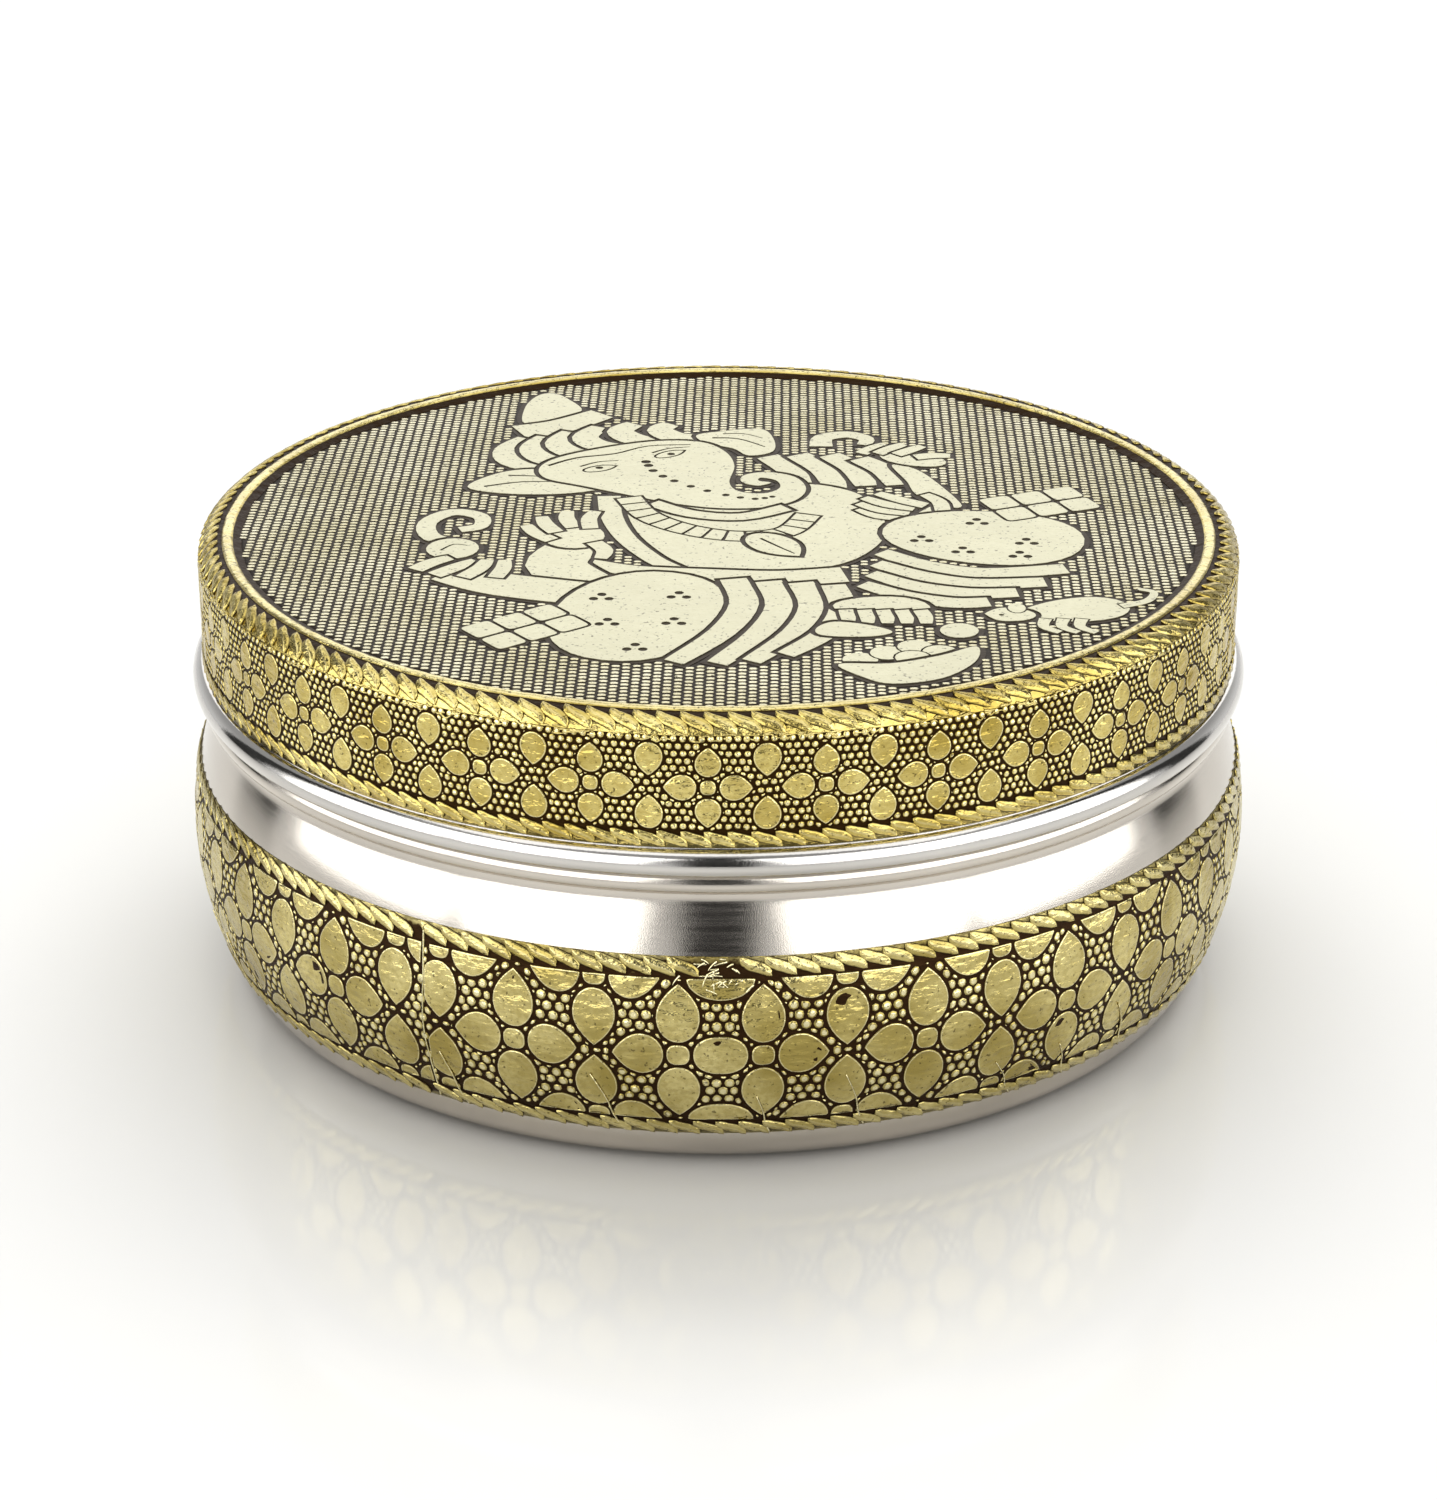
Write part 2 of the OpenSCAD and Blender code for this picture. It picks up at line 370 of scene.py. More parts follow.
# --- Materials ---
class Nodes:
    """A short way to write a node material around one Principled shader."""

    def __init__(self, name):
        self.material = bpy.data.materials.new(name)
        self.material.use_nodes = True
        self.tree = self.material.node_tree
        self.shader = self.tree.nodes["Principled BSDF"]
        self.coords = self.tree.nodes.new("ShaderNodeTexCoord")

    def new(self, kind, **inputs):
        node = self.tree.nodes.new(kind)
        for key, value in inputs.items():
            self.feed(node.inputs[key.replace("_", " ")], value)
        return node

    def feed(self, socket, value):
        if isinstance(value, bpy.types.NodeSocket):
            self.tree.links.new(value, socket)
        else:
            socket.default_value = value

    def noise(self, scale, detail=2.0, stretch=(1, 1, 1), rough=0.5):
        mapped = self.new("ShaderNodeMapping", Vector=self.coords.outputs["Object"], Scale=stretch)
        made = self.new("ShaderNodeTexNoise", Vector=mapped.outputs[0], Scale=scale, Detail=detail)
        made.inputs["Roughness"].default_value = rough
        return made.outputs["Fac"]

    def math(self, operation, a, b):
        node = self.tree.nodes.new("ShaderNodeMath")
        node.operation = operation
        self.feed(node.inputs[0], a)
        self.feed(node.inputs[1], b)
        return node.outputs[0]

    def between(self, value, low, high, to_low=0.0, to_high=1.0):
        node = self.new("ShaderNodeMapRange", Value=value)
        for key, end in (("From Min", low), ("From Max", high), ("To Min", to_low), ("To Max", to_high)):
            node.inputs[key].default_value = end
        return node.outputs[0]

    def mix(self, share, a, b):
        node = self.tree.nodes.new("ShaderNodeMix")
        node.data_type = "RGBA"
        for socket, value in ((0, share), (6, a), (7, b)):
            self.feed(node.inputs[socket], value)
        return node.outputs[2]

    def tone(self):
        node = self.tree.nodes.new("ShaderNodeAttribute")
        node.attribute_name = "tone"
        return node.outputs["Fac"]

    def bump(self, height, distance, strength, under=None):
        node = self.new("ShaderNodeBump", Height=height, Strength=strength, Distance=distance)
        if under is not None:
            self.feed(node.inputs["Normal"], under)
        return node.outputs[0]

    def done(self, colour, roughness, metallic=1.0, normal=None):
        self.feed(self.shader.inputs["Base Color"], colour)
        self.feed(self.shader.inputs["Roughness"], roughness)
        self.shader.inputs["Metallic"].default_value = metallic
        if normal is not None:
            self.feed(self.shader.inputs["Normal"], normal)
        return self.material


def foil_material(name, groove, low, high, wear_and_highlight, crinkle, rough):
    """Embossed foil: dark patina in the grooves, rubbed gold with a painted highlight on the tops, specks
    and fine crinkles.
    """
    m = Nodes(name)
    tone = m.tone()
    blotch = m.noise(70, 3)
    fine = m.noise(1100, 3)
    specks = m.between(m.noise(1400, 2), 0.64, 0.70)
    gold = m.mix(m.between(blotch, 0.35, 0.65), low, high)
    gold = m.mix(m.math("MULTIPLY", m.between(fine, 0.42, 0.62), 0.45), gold, low)
    # Tops over tone 0.9 take the pale top colour: rubbed wear and a painted highlight.
    gold = m.mix(m.math("MULTIPLY", m.between(tone, 0.9, 1.15), 0.8), gold, wear_and_highlight)
    worn = m.math("ADD", tone, m.between(fine, 0.3, 0.7, -0.1, 0.1))
    cover = m.between(worn, 0.22, 0.62)
    colour = m.mix(cover, groove, gold)
    colour = m.mix(m.math("MULTIPLY", specks, 0.7), colour, groove)
    roughness = m.math("ADD", m.between(cover, 0, 1, 0.5, rough), m.math("MULTIPLY", fine, 0.1))
    wrinkle = m.bump(m.noise(330, 3, (1, 1, 2.2)), 0.0005 * crinkle, 0.5)
    grain = m.bump(m.noise(1700, 2), 0.0001, 0.6, wrinkle)
    return m.done(colour, roughness, normal=grain)


def steel_material(name, tint, rough, line_strength, upright=False):
    """Spun stainless steel: fine turning or rubbing lines, a mottled grain, faint smears and scratches."""
    m = Nodes(name)
    lines = m.noise(60, 4, (40, 40, 1) if upright else (1, 1, 50), 0.6)
    smear = m.noise(25, 3)
    grain = m.noise(5200, 2)
    scratch = m.noise(220, 2, (1, 6, 14), 0.7)
    dull = [v * 0.88 for v in tint[:3]] + [1]
    colour = m.mix(m.between(smear, 0.35, 0.65), tint, dull)
    colour = m.mix(m.math("MULTIPLY", m.between(grain, 0.5, 0.7), 0.35), colour, dull)
    along = m.between(lines, 0.3, 0.7, rough - 0.03, rough + 0.05)
    roughness = m.math("ADD", along, m.math("MULTIPLY", grain, 0.06))
    base = m.bump(lines, 0.00003, line_strength)
    mottle = m.bump(grain, 0.000012, 0.7, base)
    fine = m.bump(scratch, 0.000012, 0.3, mottle)
    return m.done(colour, roughness, normal=fine)


# The fourth colour of each foil is its pale top colour: rubbed wear and a painted highlight.
BELLY_FOIL = foil_material(
    "belly_foil_metal", (0.030, 0.015, 0.006, 1), (0.38, 0.30, 0.085, 1), (0.70, 0.60, 0.26, 1),
    (0.97, 0.90, 0.58, 1), 1.9, 0.15,
)
SIDE_FOIL = foil_material(
    "lid_side_foil_metal", (0.028, 0.014, 0.004, 1), (0.42, 0.31, 0.065, 1), (0.72, 0.60, 0.22, 1),
    (0.97, 0.90, 0.56, 1), 1.9, 0.15,
)
FIELD_FOIL = foil_material(
    "lid_field_metal", (0.030, 0.022, 0.014, 1), (0.66, 0.60, 0.38, 1), (0.86, 0.81, 0.60, 1),
    (1.0, 0.97, 0.78, 1), 0.6, 0.2,
)
FIGURE_FOIL = foil_material(
    "lid_figure_metal", (0.06, 0.046, 0.032, 1), (0.53, 0.505, 0.35, 1), (0.59, 0.565, 0.395, 1),
    (0.72, 0.69, 0.49, 1), 0.5, 0.3,
)
BODY_STEEL = steel_material("box_steel_metal", (0.66, 0.61, 0.54, 1), 0.09, 0.06)
LID_STEEL = steel_material("lid_steel_metal", (0.68, 0.655, 0.62, 1), 0.05, 0.12, upright=True)
BOWL_STEEL = steel_material("bowl_steel_metal", (0.70, 0.69, 0.68, 1), 0.18, 0.4)
SPOON_STEEL = steel_material("spoon_steel_metal", (0.74, 0.73, 0.72, 1), 0.14, 0.3)


# --- Parts of the embossing ---
def plate(relief, outline, foot, top, crown, count):
    """A raised petal with a dark moat round it, a rolled edge painted pale (rubbed wear and a painted
    highlight) and a slightly domed, dented face.
    """
    o = same_count(outline, count)
    tilt = rng.normal(0, 0.028, 2)
    lean = lambda p: np.clip((p - o.mean(0)) @ tilt, -0.2, 0.05)
    rings = [
        (grown(o, 0.04), foot, 0.0),
        (grown(o, -0.05), foot + (top - foot) * 0.5, 0.28),
        # The rolled edge's tone 1.15 paints it pale: rubbed wear and a painted highlight.
        (grown(o, -0.17), top, 1.15),
        (grown(o, -0.34), top - 0.035, 0.85),
    ]
    for share, up in ((0.7, 0.6), (0.4, 0.9)):
        ring = shrunk(o, share)
        rings.append((ring, top - 0.03 + crown * up + lean(ring), 0.88))
    relief.stack(rings, (top - 0.03 + crown, 0.88))


def bead(relief, cell, foot, top, widest):
    """A small dome, or a chip where a petal's outline cuts into its cell."""
    ring = rounded_cell(cell, widest)
    # The crown's tone 1.1 paints the dome pale at its top: rubbed wear and a painted highlight.
    rings = [
        (ring, foot, 0.0), (shrunk(ring, 0.87), foot + (top - foot) * 0.5, 0.5),
        (shrunk(ring, 0.5), foot + (top - foot) * 0.93, 1.1),
    ]
    relief.stack(rings, (top, 1.1))


def strand(relief, x, y, length, height, width, foot, top):
    """One twist of a rope border: a plump S-shaped bar lying across the border."""
    u = np.linspace(-1, 1, 11)
    px = x + length / 2 * (u + 0.10 * np.sin(math.pi * u))
    py = y - height / 2 * 0.94 * (u - 0.10 * np.sin(math.pi * u))
    path = np.stack([px, py], 1)
    along = np.gradient(path, axis=0)
    along /= np.linalg.norm(along, axis=1)[:, None]
    side = np.stack([-along[:, 1], along[:, 0]], 1)
    half = (width / 2 * np.sqrt(np.clip(1 - np.abs(u) ** 2.6, 0, 1)) + 0.05)[:, None]
    outline = anticlockwise(np.concatenate([path - side * half, (path + side * half)[::-1]]))
    middle = np.concatenate([path, path[::-1]])
    if np.linalg.norm(outline[0] - middle[0]) > np.linalg.norm(outline[0] - middle[-1]):
        middle = middle[::-1]
    pull = lambda share: middle + (outline - middle) * share
    rise = top - foot
    relief.stack([
        (outline, foot, 0.0), (pull(0.86), foot + rise * 0.45, 0.35), (pull(0.62), foot + rise * 0.86, 0.9),
        (pull(0.42), foot + rise * 0.84, 0.62), (pull(0.2), top, 0.95),
    ])


def hex_cells(low, high, across, pitch, outlines, groove):
    """Bead cells of a hexagonal field over a rectangle, cut back from the petals' outlines."""
    row = pitch * math.sqrt(3) / 2
    corner = np.radians(np.arange(6) * 60 + 30)
    hexagon = np.stack([np.cos(corner), np.sin(corner)], 1) * (pitch / math.sqrt(3))
    count = int((across[1] - across[0]) / row) + 1
    start = across[0] + ((across[1] - across[0]) - (count - 1) * row) / 2
    lows = np.array([o.min(0) for o in outlines]) - pitch
    highs = np.array([o.max(0) for o in outlines]) + pitch
    smallest = 0.05 * pitch * pitch
    cells = []
    for j in range(count):
        for i in range(int(round((high - low) / pitch))):
            place = (low + (i + 0.25 + 0.5 * (j % 2)) * pitch, start + j * row)
            c = np.array(place) + rng.normal(0, 0.035 * pitch, 2)
            cell = hexagon + c
            for k in np.where(np.all((c > lows) & (c < highs), axis=1))[0]:
                outline = outlines[k]
                gap = np.linalg.norm(outline - c, axis=1)
                n = int(gap.argmin())
                before, after = outline[n - 1], outline[(n + 1) % len(outline)]
                edge = (after - before) / (np.linalg.norm(after - before) + 1e-9)
                normal = np.array([edge[1], -edge[0]])
                cell = cut(cell, outline[n] + normal * groove, normal)
                if len(cell) < 3:
                    break
            if len(cell) < 3:
                continue
            x, y = cell[:, 0], cell[:, 1]
            area = 0.5 * abs(np.sum(x * np.roll(y, -1) - np.roll(x, -1) * y))
            if area > smallest:
                cells.append(shrunk(cell, 0.92))
    return cells


# --- Spun steel ---
LATHE_SHARP = 28


def lathe(name, profile, material, body, around=256, middle=(0.0, 0.0), floor=0.0):
    """A closed half section (r, z), going up on its outer side, turned round an upright axis."""
    p = np.asarray(profile, float)
    on_axis = p[:, 0] < 1e-6
    angles = np.arange(around) * 2 * math.pi / around
    points, index = [], []
    for (r, z), axis in zip(p, on_axis):
        index.append(len(points))
        for a in angles[: 1 if axis else around]:
            points.append((middle[0] + r * math.sin(a), middle[1] - r * math.cos(a), floor + z))
    faces = []
    n = len(p)
    for j in range(n):
        k = (j + 1) % n
        if on_axis[j] and on_axis[k]:
            continue
        for i in range(around):
            i2 = (i + 1) % around
            if on_axis[j]:
                faces.append([index[j], index[k] + i2, index[k] + i])
            elif on_axis[k]:
                faces.append([index[j] + i, index[j] + i2, index[k]])
            else:
                faces.append([index[j] + i, index[j] + i2, index[k] + i2, index[k] + i])
    obj = make_mesh(name, np.array(points), faces)
    obj.data.set_sharp_from_angle(angle=math.radians(LATHE_SHARP))
    return finished(obj, material, body)


def body_side(t):
    """The body's section moved inwards by t, from the base's middle up to the collar."""
    base_x = BELLY_X + math.sqrt((BELLY_R - BASE_CORNER) ** 2 - (BELLY_Z - BASE_CORNER) ** 2)
    base_angle = math.degrees(math.asin((BELLY_Z - BASE_CORNER) / (BELLY_R - BASE_CORNER)))
    neck_x = WAIST + NECK_R
    neck_rise = math.sqrt((BELLY_R + NECK_R) ** 2 - (neck_x - BELLY_X) ** 2)
    neck_angle = math.degrees(math.asin(neck_rise / (BELLY_R + NECK_R)))
    line = [(0, t), (base_x * 0.5, t)]
    line += arc(base_x, BASE_CORNER, BASE_CORNER - t, -90, -base_angle, 10)
    line += arc(BELLY_X, BELLY_Z, BELLY_R - t, -base_angle, neck_angle, 44)[1:]
    line += arc(neck_x, BELLY_Z + neck_rise, NECK_R + t, 180 + neck_angle, 180, 8)[1:]
    low = math.degrees(math.acos((WAIST - t - COLLAR_R + 0.3) / (BEAD_R - t)))
    high = math.degrees(math.acos((0.3 - t) / (BEAD_R - t)))
    line += arc(COLLAR_R - 0.3, BEAD_Z, BEAD_R - t, -low, high, 14)
    return line


curl = arc(COLLAR_R - CURL, COLLAR_TOP - CURL, CURL, 0, 270, 12)
inner_wall = [(COLLAR_R - WALL, COLLAR_TOP - 2 * CURL - 0.2)]
body_profile = body_side(0) + curl + inner_wall + body_side(WALL)[::-1]
lathe("spun_body", body_profile, BODY_STEEL, "box")
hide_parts("box_shell")


def lid_section(t):
    """The lid's section moved inwards by t, from the foot of its side to the middle of its top."""
    edge_x, edge_z = LID_R - LID_EDGE, LID_TOP - LID_EDGE
    line = arc(edge_x, edge_z, LID_EDGE - t, 0, 90, 10)
    line += [
        (DISH_R + DISH_STEP + 0.3, LID_TOP - t), (DISH_R + DISH_STEP, LID_TOP - t - 0.03),
        (DISH_R, LID_TOP - DISH_DEPTH - t), (DISH_R - 0.4, LID_TOP - DISH_DEPTH - t),
        (DISH_R * 0.66, LID_TOP - DISH_DEPTH - t), (DISH_R * 0.33, LID_TOP - DISH_DEPTH - t),
        (0, LID_TOP - DISH_DEPTH - t),
    ]
    return line


rim_low = -math.degrees(math.asin((RIM_Z - LID_Z) / RIM_R))
rim_high = math.degrees(math.acos((LID_R - RIM_X) / RIM_R))
rim = arc(RIM_X, RIM_Z, RIM_R, rim_low, rim_high, 14)
lid_outer = rim + [(LID_R, 62), (LID_R, 70)] + lid_section(0)
lid_bore = LID_R - WALL
lid_inner = lid_section(WALL)[::-1] + [(lid_bore, 66), (lid_bore, LID_Z + 0.1), (lid_bore + 0.1, LID_Z)]
lathe("spun_lid", lid_outer + lid_inner, LID_STEEL, "lid")
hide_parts("lid_shell")

BOWL_FLOOR = BOWL_LOW[2]
BOWL_H = BOWL_HIGH[2] - BOWL_LOW[2]
BOWL_RIM = 0.7
BOWL_WALL = 0.5
BOWL_CORNER = 7.0
BOWL_SIDE = (BOWL_HIGH[0] - BOWL_LOW[0]) / 2 - 1.3 * BOWL_RIM


def bowl_profile():
    rim_x, rim_z = BOWL_SIDE + 0.3 * BOWL_RIM, BOWL_H - BOWL_RIM
    start = -180 + math.degrees(math.acos((rim_x - BOWL_SIDE) / BOWL_RIM))
    line = [(0, 0), (12, 0), (BOWL_SIDE - BOWL_CORNER - 0.5, 0)]
    line += arc(BOWL_SIDE - BOWL_CORNER, BOWL_CORNER, BOWL_CORNER, -90, 0, 10)
    line += [(BOWL_SIDE, 20), (BOWL_SIDE, 32)]
    line += arc(rim_x, rim_z, BOWL_RIM, start, 178, 14)
    inside = BOWL_SIDE - BOWL_WALL
    line += [(inside, rim_z - 0.4), (inside, 32), (inside, 20)]
    line += arc(BOWL_SIDE - BOWL_CORNER, BOWL_CORNER, BOWL_CORNER - BOWL_WALL, 0, -90, 10)
    line += [(12, BOWL_WALL), (0, BOWL_WALL)]
    return line


for node in ["bowl_center"] + [f"bowl_{i}" for i in range(1, 7)]:
    low, high = box_mm(node)
    place = ((low[0] + high[0]) / 2, (low[1] + high[1]) / 2)
    made = lathe(f"{node}_spun", bowl_profile(), BOWL_STEEL, node, 96, place, BOWL_FLOOR)
    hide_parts(node)


# --- Spoon ---
SPOON_END, SPOON_HEAD, SPOON_TOP = SPOON_HIGH[0], SPOON_HIGH[1] - 0.05, SPOON_HIGH[2]
SPOON_THICK = 0.9
SPOON_DEPTH = 6.0
HANDLE_START = 11.6
HANDLE_SECTION = (
    (-1, 0.45), (-0.93, 0.12), (-0.75, 0.02), (0, 0.02), (0.75, 0.02), (0.93, 0.12), (1, 0.45),
    (0.93, 0.78), (0.78, 0.88), (0.6, 0.86), (0, 0.62), (-0.6, 0.86), (-0.78, 0.88), (-0.93, 0.78),
)


def spoon_head():
    """The half section of the spoon's round head."""
    ball = (12.5**2 + SPOON_DEPTH**2) / (2 * SPOON_DEPTH)
    middle = SPOON_TOP - SPOON_THICK + (ball - SPOON_DEPTH)
    inner = ball - SPOON_THICK
    steps = [12.4 * k / 14 for k in range(15)]
    under = [(r, middle - math.sqrt((ball - 0.12) ** 2 - r * r)) for r in steps]
    upper = [(r, min(SPOON_TOP, middle - math.sqrt(max(inner**2 - r * r, 1.0)))) for r in steps]
    lip = [
        (SPOON_HEAD - 0.15, SPOON_TOP - SPOON_THICK + 0.25), (SPOON_HEAD, SPOON_TOP - 0.35),
        (SPOON_HEAD - 0.2, SPOON_TOP - 0.05),
    ]
    return under + lip + upper[::-1]


def spoon_handle():
    """Points and faces of the handle: one section moved along it, wider and then rounded off."""
    reach, stations, count = SPOON_END - 0.05, 41, len(HANDLE_SECTION)
    points, faces = [], []
    for k in range(stations):
        x = HANDLE_START + (reach - HANDLE_START) * (1 - (1 - k / (stations - 1)) ** 1.15)
        full = 2.5 + 2.5 * (x - HANDLE_START) / (SPOON_END - HANDLE_START)
        left = reach - x
        half = full if left > full else math.sqrt(max(full**2 - (full - left) ** 2, 0.01))
        points += [(x, v * half, SPOON_TOP - SPOON_THICK + z) for v, z in HANDLE_SECTION]
    for k in range(stations - 1):
        a, b = k * count, (k + 1) * count
        faces += [[a + (i + 1) % count, b + (i + 1) % count, b + i, a + i] for i in range(count)]
    faces += [list(range(count)), [(stations - 1) * count + i for i in range(count)][::-1]]
    return np.array(points), faces


head = lathe("spoon_head_stamped", spoon_head(), SPOON_STEEL, "spoon", 96)
handle = make_mesh("spoon_handle_stamped", *spoon_handle())
handle.data.set_sharp_from_angle(angle=math.radians(40))
finished(handle, SPOON_STEEL, "spoon")
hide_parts("spice_spoon")


# --- Flower pattern ---
def flower(x, y, side, tall, centre, gap):
    """Outlines of a flower: its round middle, two petals left and right and two up and down."""
    out = [placed(egg(centre / 2, centre / 2, 20, 0, 2.6), x, y)]
    for degrees, (length, width) in ((0, side), (90, tall), (180, side), (270, tall)):
        petal = leaf(length, width)
        petal[:, 0] += gap
        out.append(placed(petal, x, y, degrees))
    return out


def clipped(outlines, limits):
    """The outlines cut to lines (point, normal), leaving out what nearly disappears."""
    out = []
    for outline in outlines:
        for point, normal in limits:
            outline = cut(outline, point, normal)
            if len(outline) < 3:
                break
        if len(outline) < 4:
            continue
        size = outline.max(0) - outline.min(0)
        if size.min() > 0.9:
            out.append(outline)
    return out


def dented(seed, deep, size):
    """Small dents and creases, felt only where the foil stands up."""
    def dents(q, tones):
        big = waves(q[:, 0], q[:, 1], size, seed)
        small = waves(q[:, 0], q[:, 1], size * 0.4, seed + 1)
        fall = -np.abs(big * 0.7 + small * 0.3)
        return fall * deep * np.clip(tones, 0, 1)
    return dents


# Belly band
belly_low = math.degrees(math.asin((BAND_LOW[2] - BELLY_Z) / (BELLY_R + FOIL)))
belly_high = math.degrees(math.asin((BAND_HIGH[2] - BELLY_Z) / (BELLY_R + FOIL)))
BELLY = section_surface(arc(BELLY_X, BELLY_Z, BELLY_R, belly_low, belly_high, 90), BELLY_RADIUS)
BELLY_LENGTH = BELLY[2]
BELLY_MID = BELLY_LENGTH / 2
BELLY_ROPE = 3.1


def at_deg(degrees):
    return math.radians(degrees) * BELLY_RADIUS


# One strip of foil runs round from the seam and nearly meets itself there. Two flowers
# run into each other at the join near the front. A flower is (side petals, tall petals,
# middle, gap), with a petal as (length, width).
SEAM = -29.5
JOIN = 1.25
BELLY_FLOWER = ((8.6, 7.6), (10.4, 7.2), 3.9, 2.3)
SIDE_FLOWER = ((5.4, 4.5), (5.2, 4.3), 2.6, 1.75)
FLOWER_ANGLES = [-19.4, -2.9] + [5.4 + BELLY_PITCH_DEG * k for k in range(20)]
belly_plates, belly_beads, belly_ropes = Relief(), Relief(), Relief()
up, down = np.array([0.0, 1.0]), np.array([0.0, -1.0])
field_low, field_high = BELLY_ROPE + 0.3, BELLY_LENGTH - BELLY_ROPE - 0.3
s0, s1 = at_deg(SEAM), at_deg(SEAM + 360)
limits = [
    (np.array([0, field_low + 0.15]), up), (np.array([0, field_high - 0.15]), down),
    (np.array([s0 + 0.3, 0]), np.array([1.0, 0])), (np.array([s1 - 0.3, 0]), np.array([-1.0, 0])),
]
shapes = []
half_angles = []
for degrees in FLOWER_ANGLES:
    whole = flower(at_deg(degrees), BELLY_MID, *BELLY_FLOWER)
    if degrees == FLOWER_ANGLES[1]:
        whole.pop(1)
    if degrees == FLOWER_ANGLES[2]:
        whole.pop(3)
    shapes += whole
    if degrees != FLOWER_ANGLES[1]:
        half_angles.append(degrees + BELLY_PITCH_DEG / 2)
half_angles += [FLOWER_ANGLES[0] - BELLY_PITCH_DEG / 2]
for degrees in half_angles:
    for y in (-HALF_PERIOD, HALF_PERIOD):
        shapes += flower(at_deg(degrees), BELLY_MID + y, *BELLY_FLOWER)
shapes.append(placed(egg(4.5, 3.6, 28, 0, 2.3), at_deg(JOIN), BELLY_MID))
for y in (-HALF_PERIOD, HALF_PERIOD):
    shapes.append(placed(egg(5.6, 3.7, 28), at_deg(JOIN), BELLY_MID + y))
shapes = clipped(shapes, limits)
for outline in shapes:
    plate(belly_plates, outline, 0.03, 0.29, 0.03, 34)
for cell in hex_cells(s0 + 0.6, s1 - 0.6, (field_low + 0.85, field_high - 0.85), 2.05, shapes, 0.36):
    bead(belly_beads, cell, 0.04, 0.30 + rng.uniform(-0.04, 0.0), 0.98)

STRAND_PITCH = BELLY_PITCH / 7
for k in range(int((s1 - s0) / STRAND_PITCH)):
    x = s0 + STRAND_PITCH * (k + 0.5) + rng.normal(0, 0.06)
    for y in (BELLY_ROPE / 2 + 0.1, BELLY_LENGTH - BELLY_ROPE / 2 - 0.1):
        if y > BELLY_MID and abs(x - at_deg(JOIN)) < 2.6:
            continue
        y += rng.normal(0, 0.05)
        strand(belly_ropes, x, y, STRAND_PITCH * 1.32, BELLY_ROPE + 0.1, 2.05, 0.03, 0.5)


def ridge(relief, points, start, end, foot, top, tone=1.2):
    """A thin standing crease in the foil."""
    # A crest tone over 0.9 paints the ridge pale: rubbed wear and a painted highlight.
    crest = ribbon(points, start * 0.3, end * 0.3)
    relief.stack([(ribbon(points, start, end), foot, 0.1), (crest, top, tone)])


# The strip's cut edge at the seam, pleats in the lower edge, and the crumpled spot at the join
creases = Relief()
wave = [(s0 + 0.25 * math.sin(k * 1.3), 0.4 + (BELLY_LENGTH - 0.8) * k / 8) for k in range(9)]
ridge(creases, wave, 0.5, 0.5, 0.03, 0.34)
for degrees in FLOWER_ANGLES[1:] + half_angles:
    if rng.uniform() < 0.55:
        x = at_deg(degrees) + rng.uniform(-1.5, 0.5)
        y = BELLY_MID - rng.uniform(4.5, 9.5)
        lean = rng.uniform(2.0, 4.5)
        path = [(x, y), (x + lean * 0.55, y * 0.62), (x + lean * 0.8, y * 0.3), (x + lean * 1.2, 0.3)]
        ridge(creases, path, 0.25, 0.6, 0.2, 0.42)
for _ in range(26):
    x = at_deg(JOIN) + rng.normal(0, 2.2)
    y = BELLY_LENGTH - rng.uniform(0.2, 5.5)
    a = rng.uniform(0, math.pi)
    length = rng.uniform(0.8, 2.4)
    dx, dy = length * math.cos(a), length * math.sin(a)
    ridge(creases, [(x, y), (x + dx * 0.6, y - abs(dy) * 0.5), (x + dx, y - abs(dy))], 0.6, 0.2, 0.05, 0.3)

AROUND = 720
s = np.arange(AROUND) * 2 * math.pi * BELLY_RADIUS / AROUND
t = np.linspace(0, BELLY_LENGTH, 24)
ss, tt = np.meshgrid(s, t, indexing="ij")
heights = 0.075 + 0.015 * waves(ss, tt, 4, 11)
tones = 0.08 + 0.05 * waves(ss, tt, 3, 12)
edge = (tt < 0.2) | (tt > BELLY_LENGTH - 0.2)
tones = np.where(edge, 0.6, tones)
belly_ground = Relief()
belly_ground.grid(s, t, heights, tones)
band = build("belly_foil_sheet", belly_ground, BELLY, BELLY_FOIL, "box")
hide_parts("box_foil_band")
for kind, relief, dents in (
    ("creases", creases, None), ("petals", belly_plates, dented(21, 0.13, 5)),
    ("beads", belly_beads, None), ("ropes", belly_ropes, dented(23, 0.05, 4)),
):
    build(f"belly_foil_{kind}", relief, BELLY, BELLY_FOIL, "box", dents)

# Lid side band
edge_x, edge_z = LID_R - LID_EDGE, LID_TOP - LID_EDGE
straight = [(LID_R, z) for z in np.linspace(SIDE_LOW, edge_z, 30)]
shoulder = arc(edge_x, edge_z, LID_EDGE, 0, 90, 24)[1:]
flat_edge = [(r, LID_TOP) for r in np.linspace(edge_x, DISH_R + DISH_STEP, 10)[1:]]
step_down = [(DISH_R + DISH_STEP - 0.35, LID_TOP - 0.14), (DISH_R, LID_TOP - DISH_DEPTH)]
SIDE = section_surface(straight + shoulder + flat_edge + step_down, SIDE_RADIUS)
SIDE_LENGTH = SIDE[2]
SIDE_STRAIGHT = edge_z - SIDE_LOW
SHOULDER_LENGTH = LID_EDGE * math.pi / 2
SIDE_ROPE = 2.7
FLOWER_T = 10.4

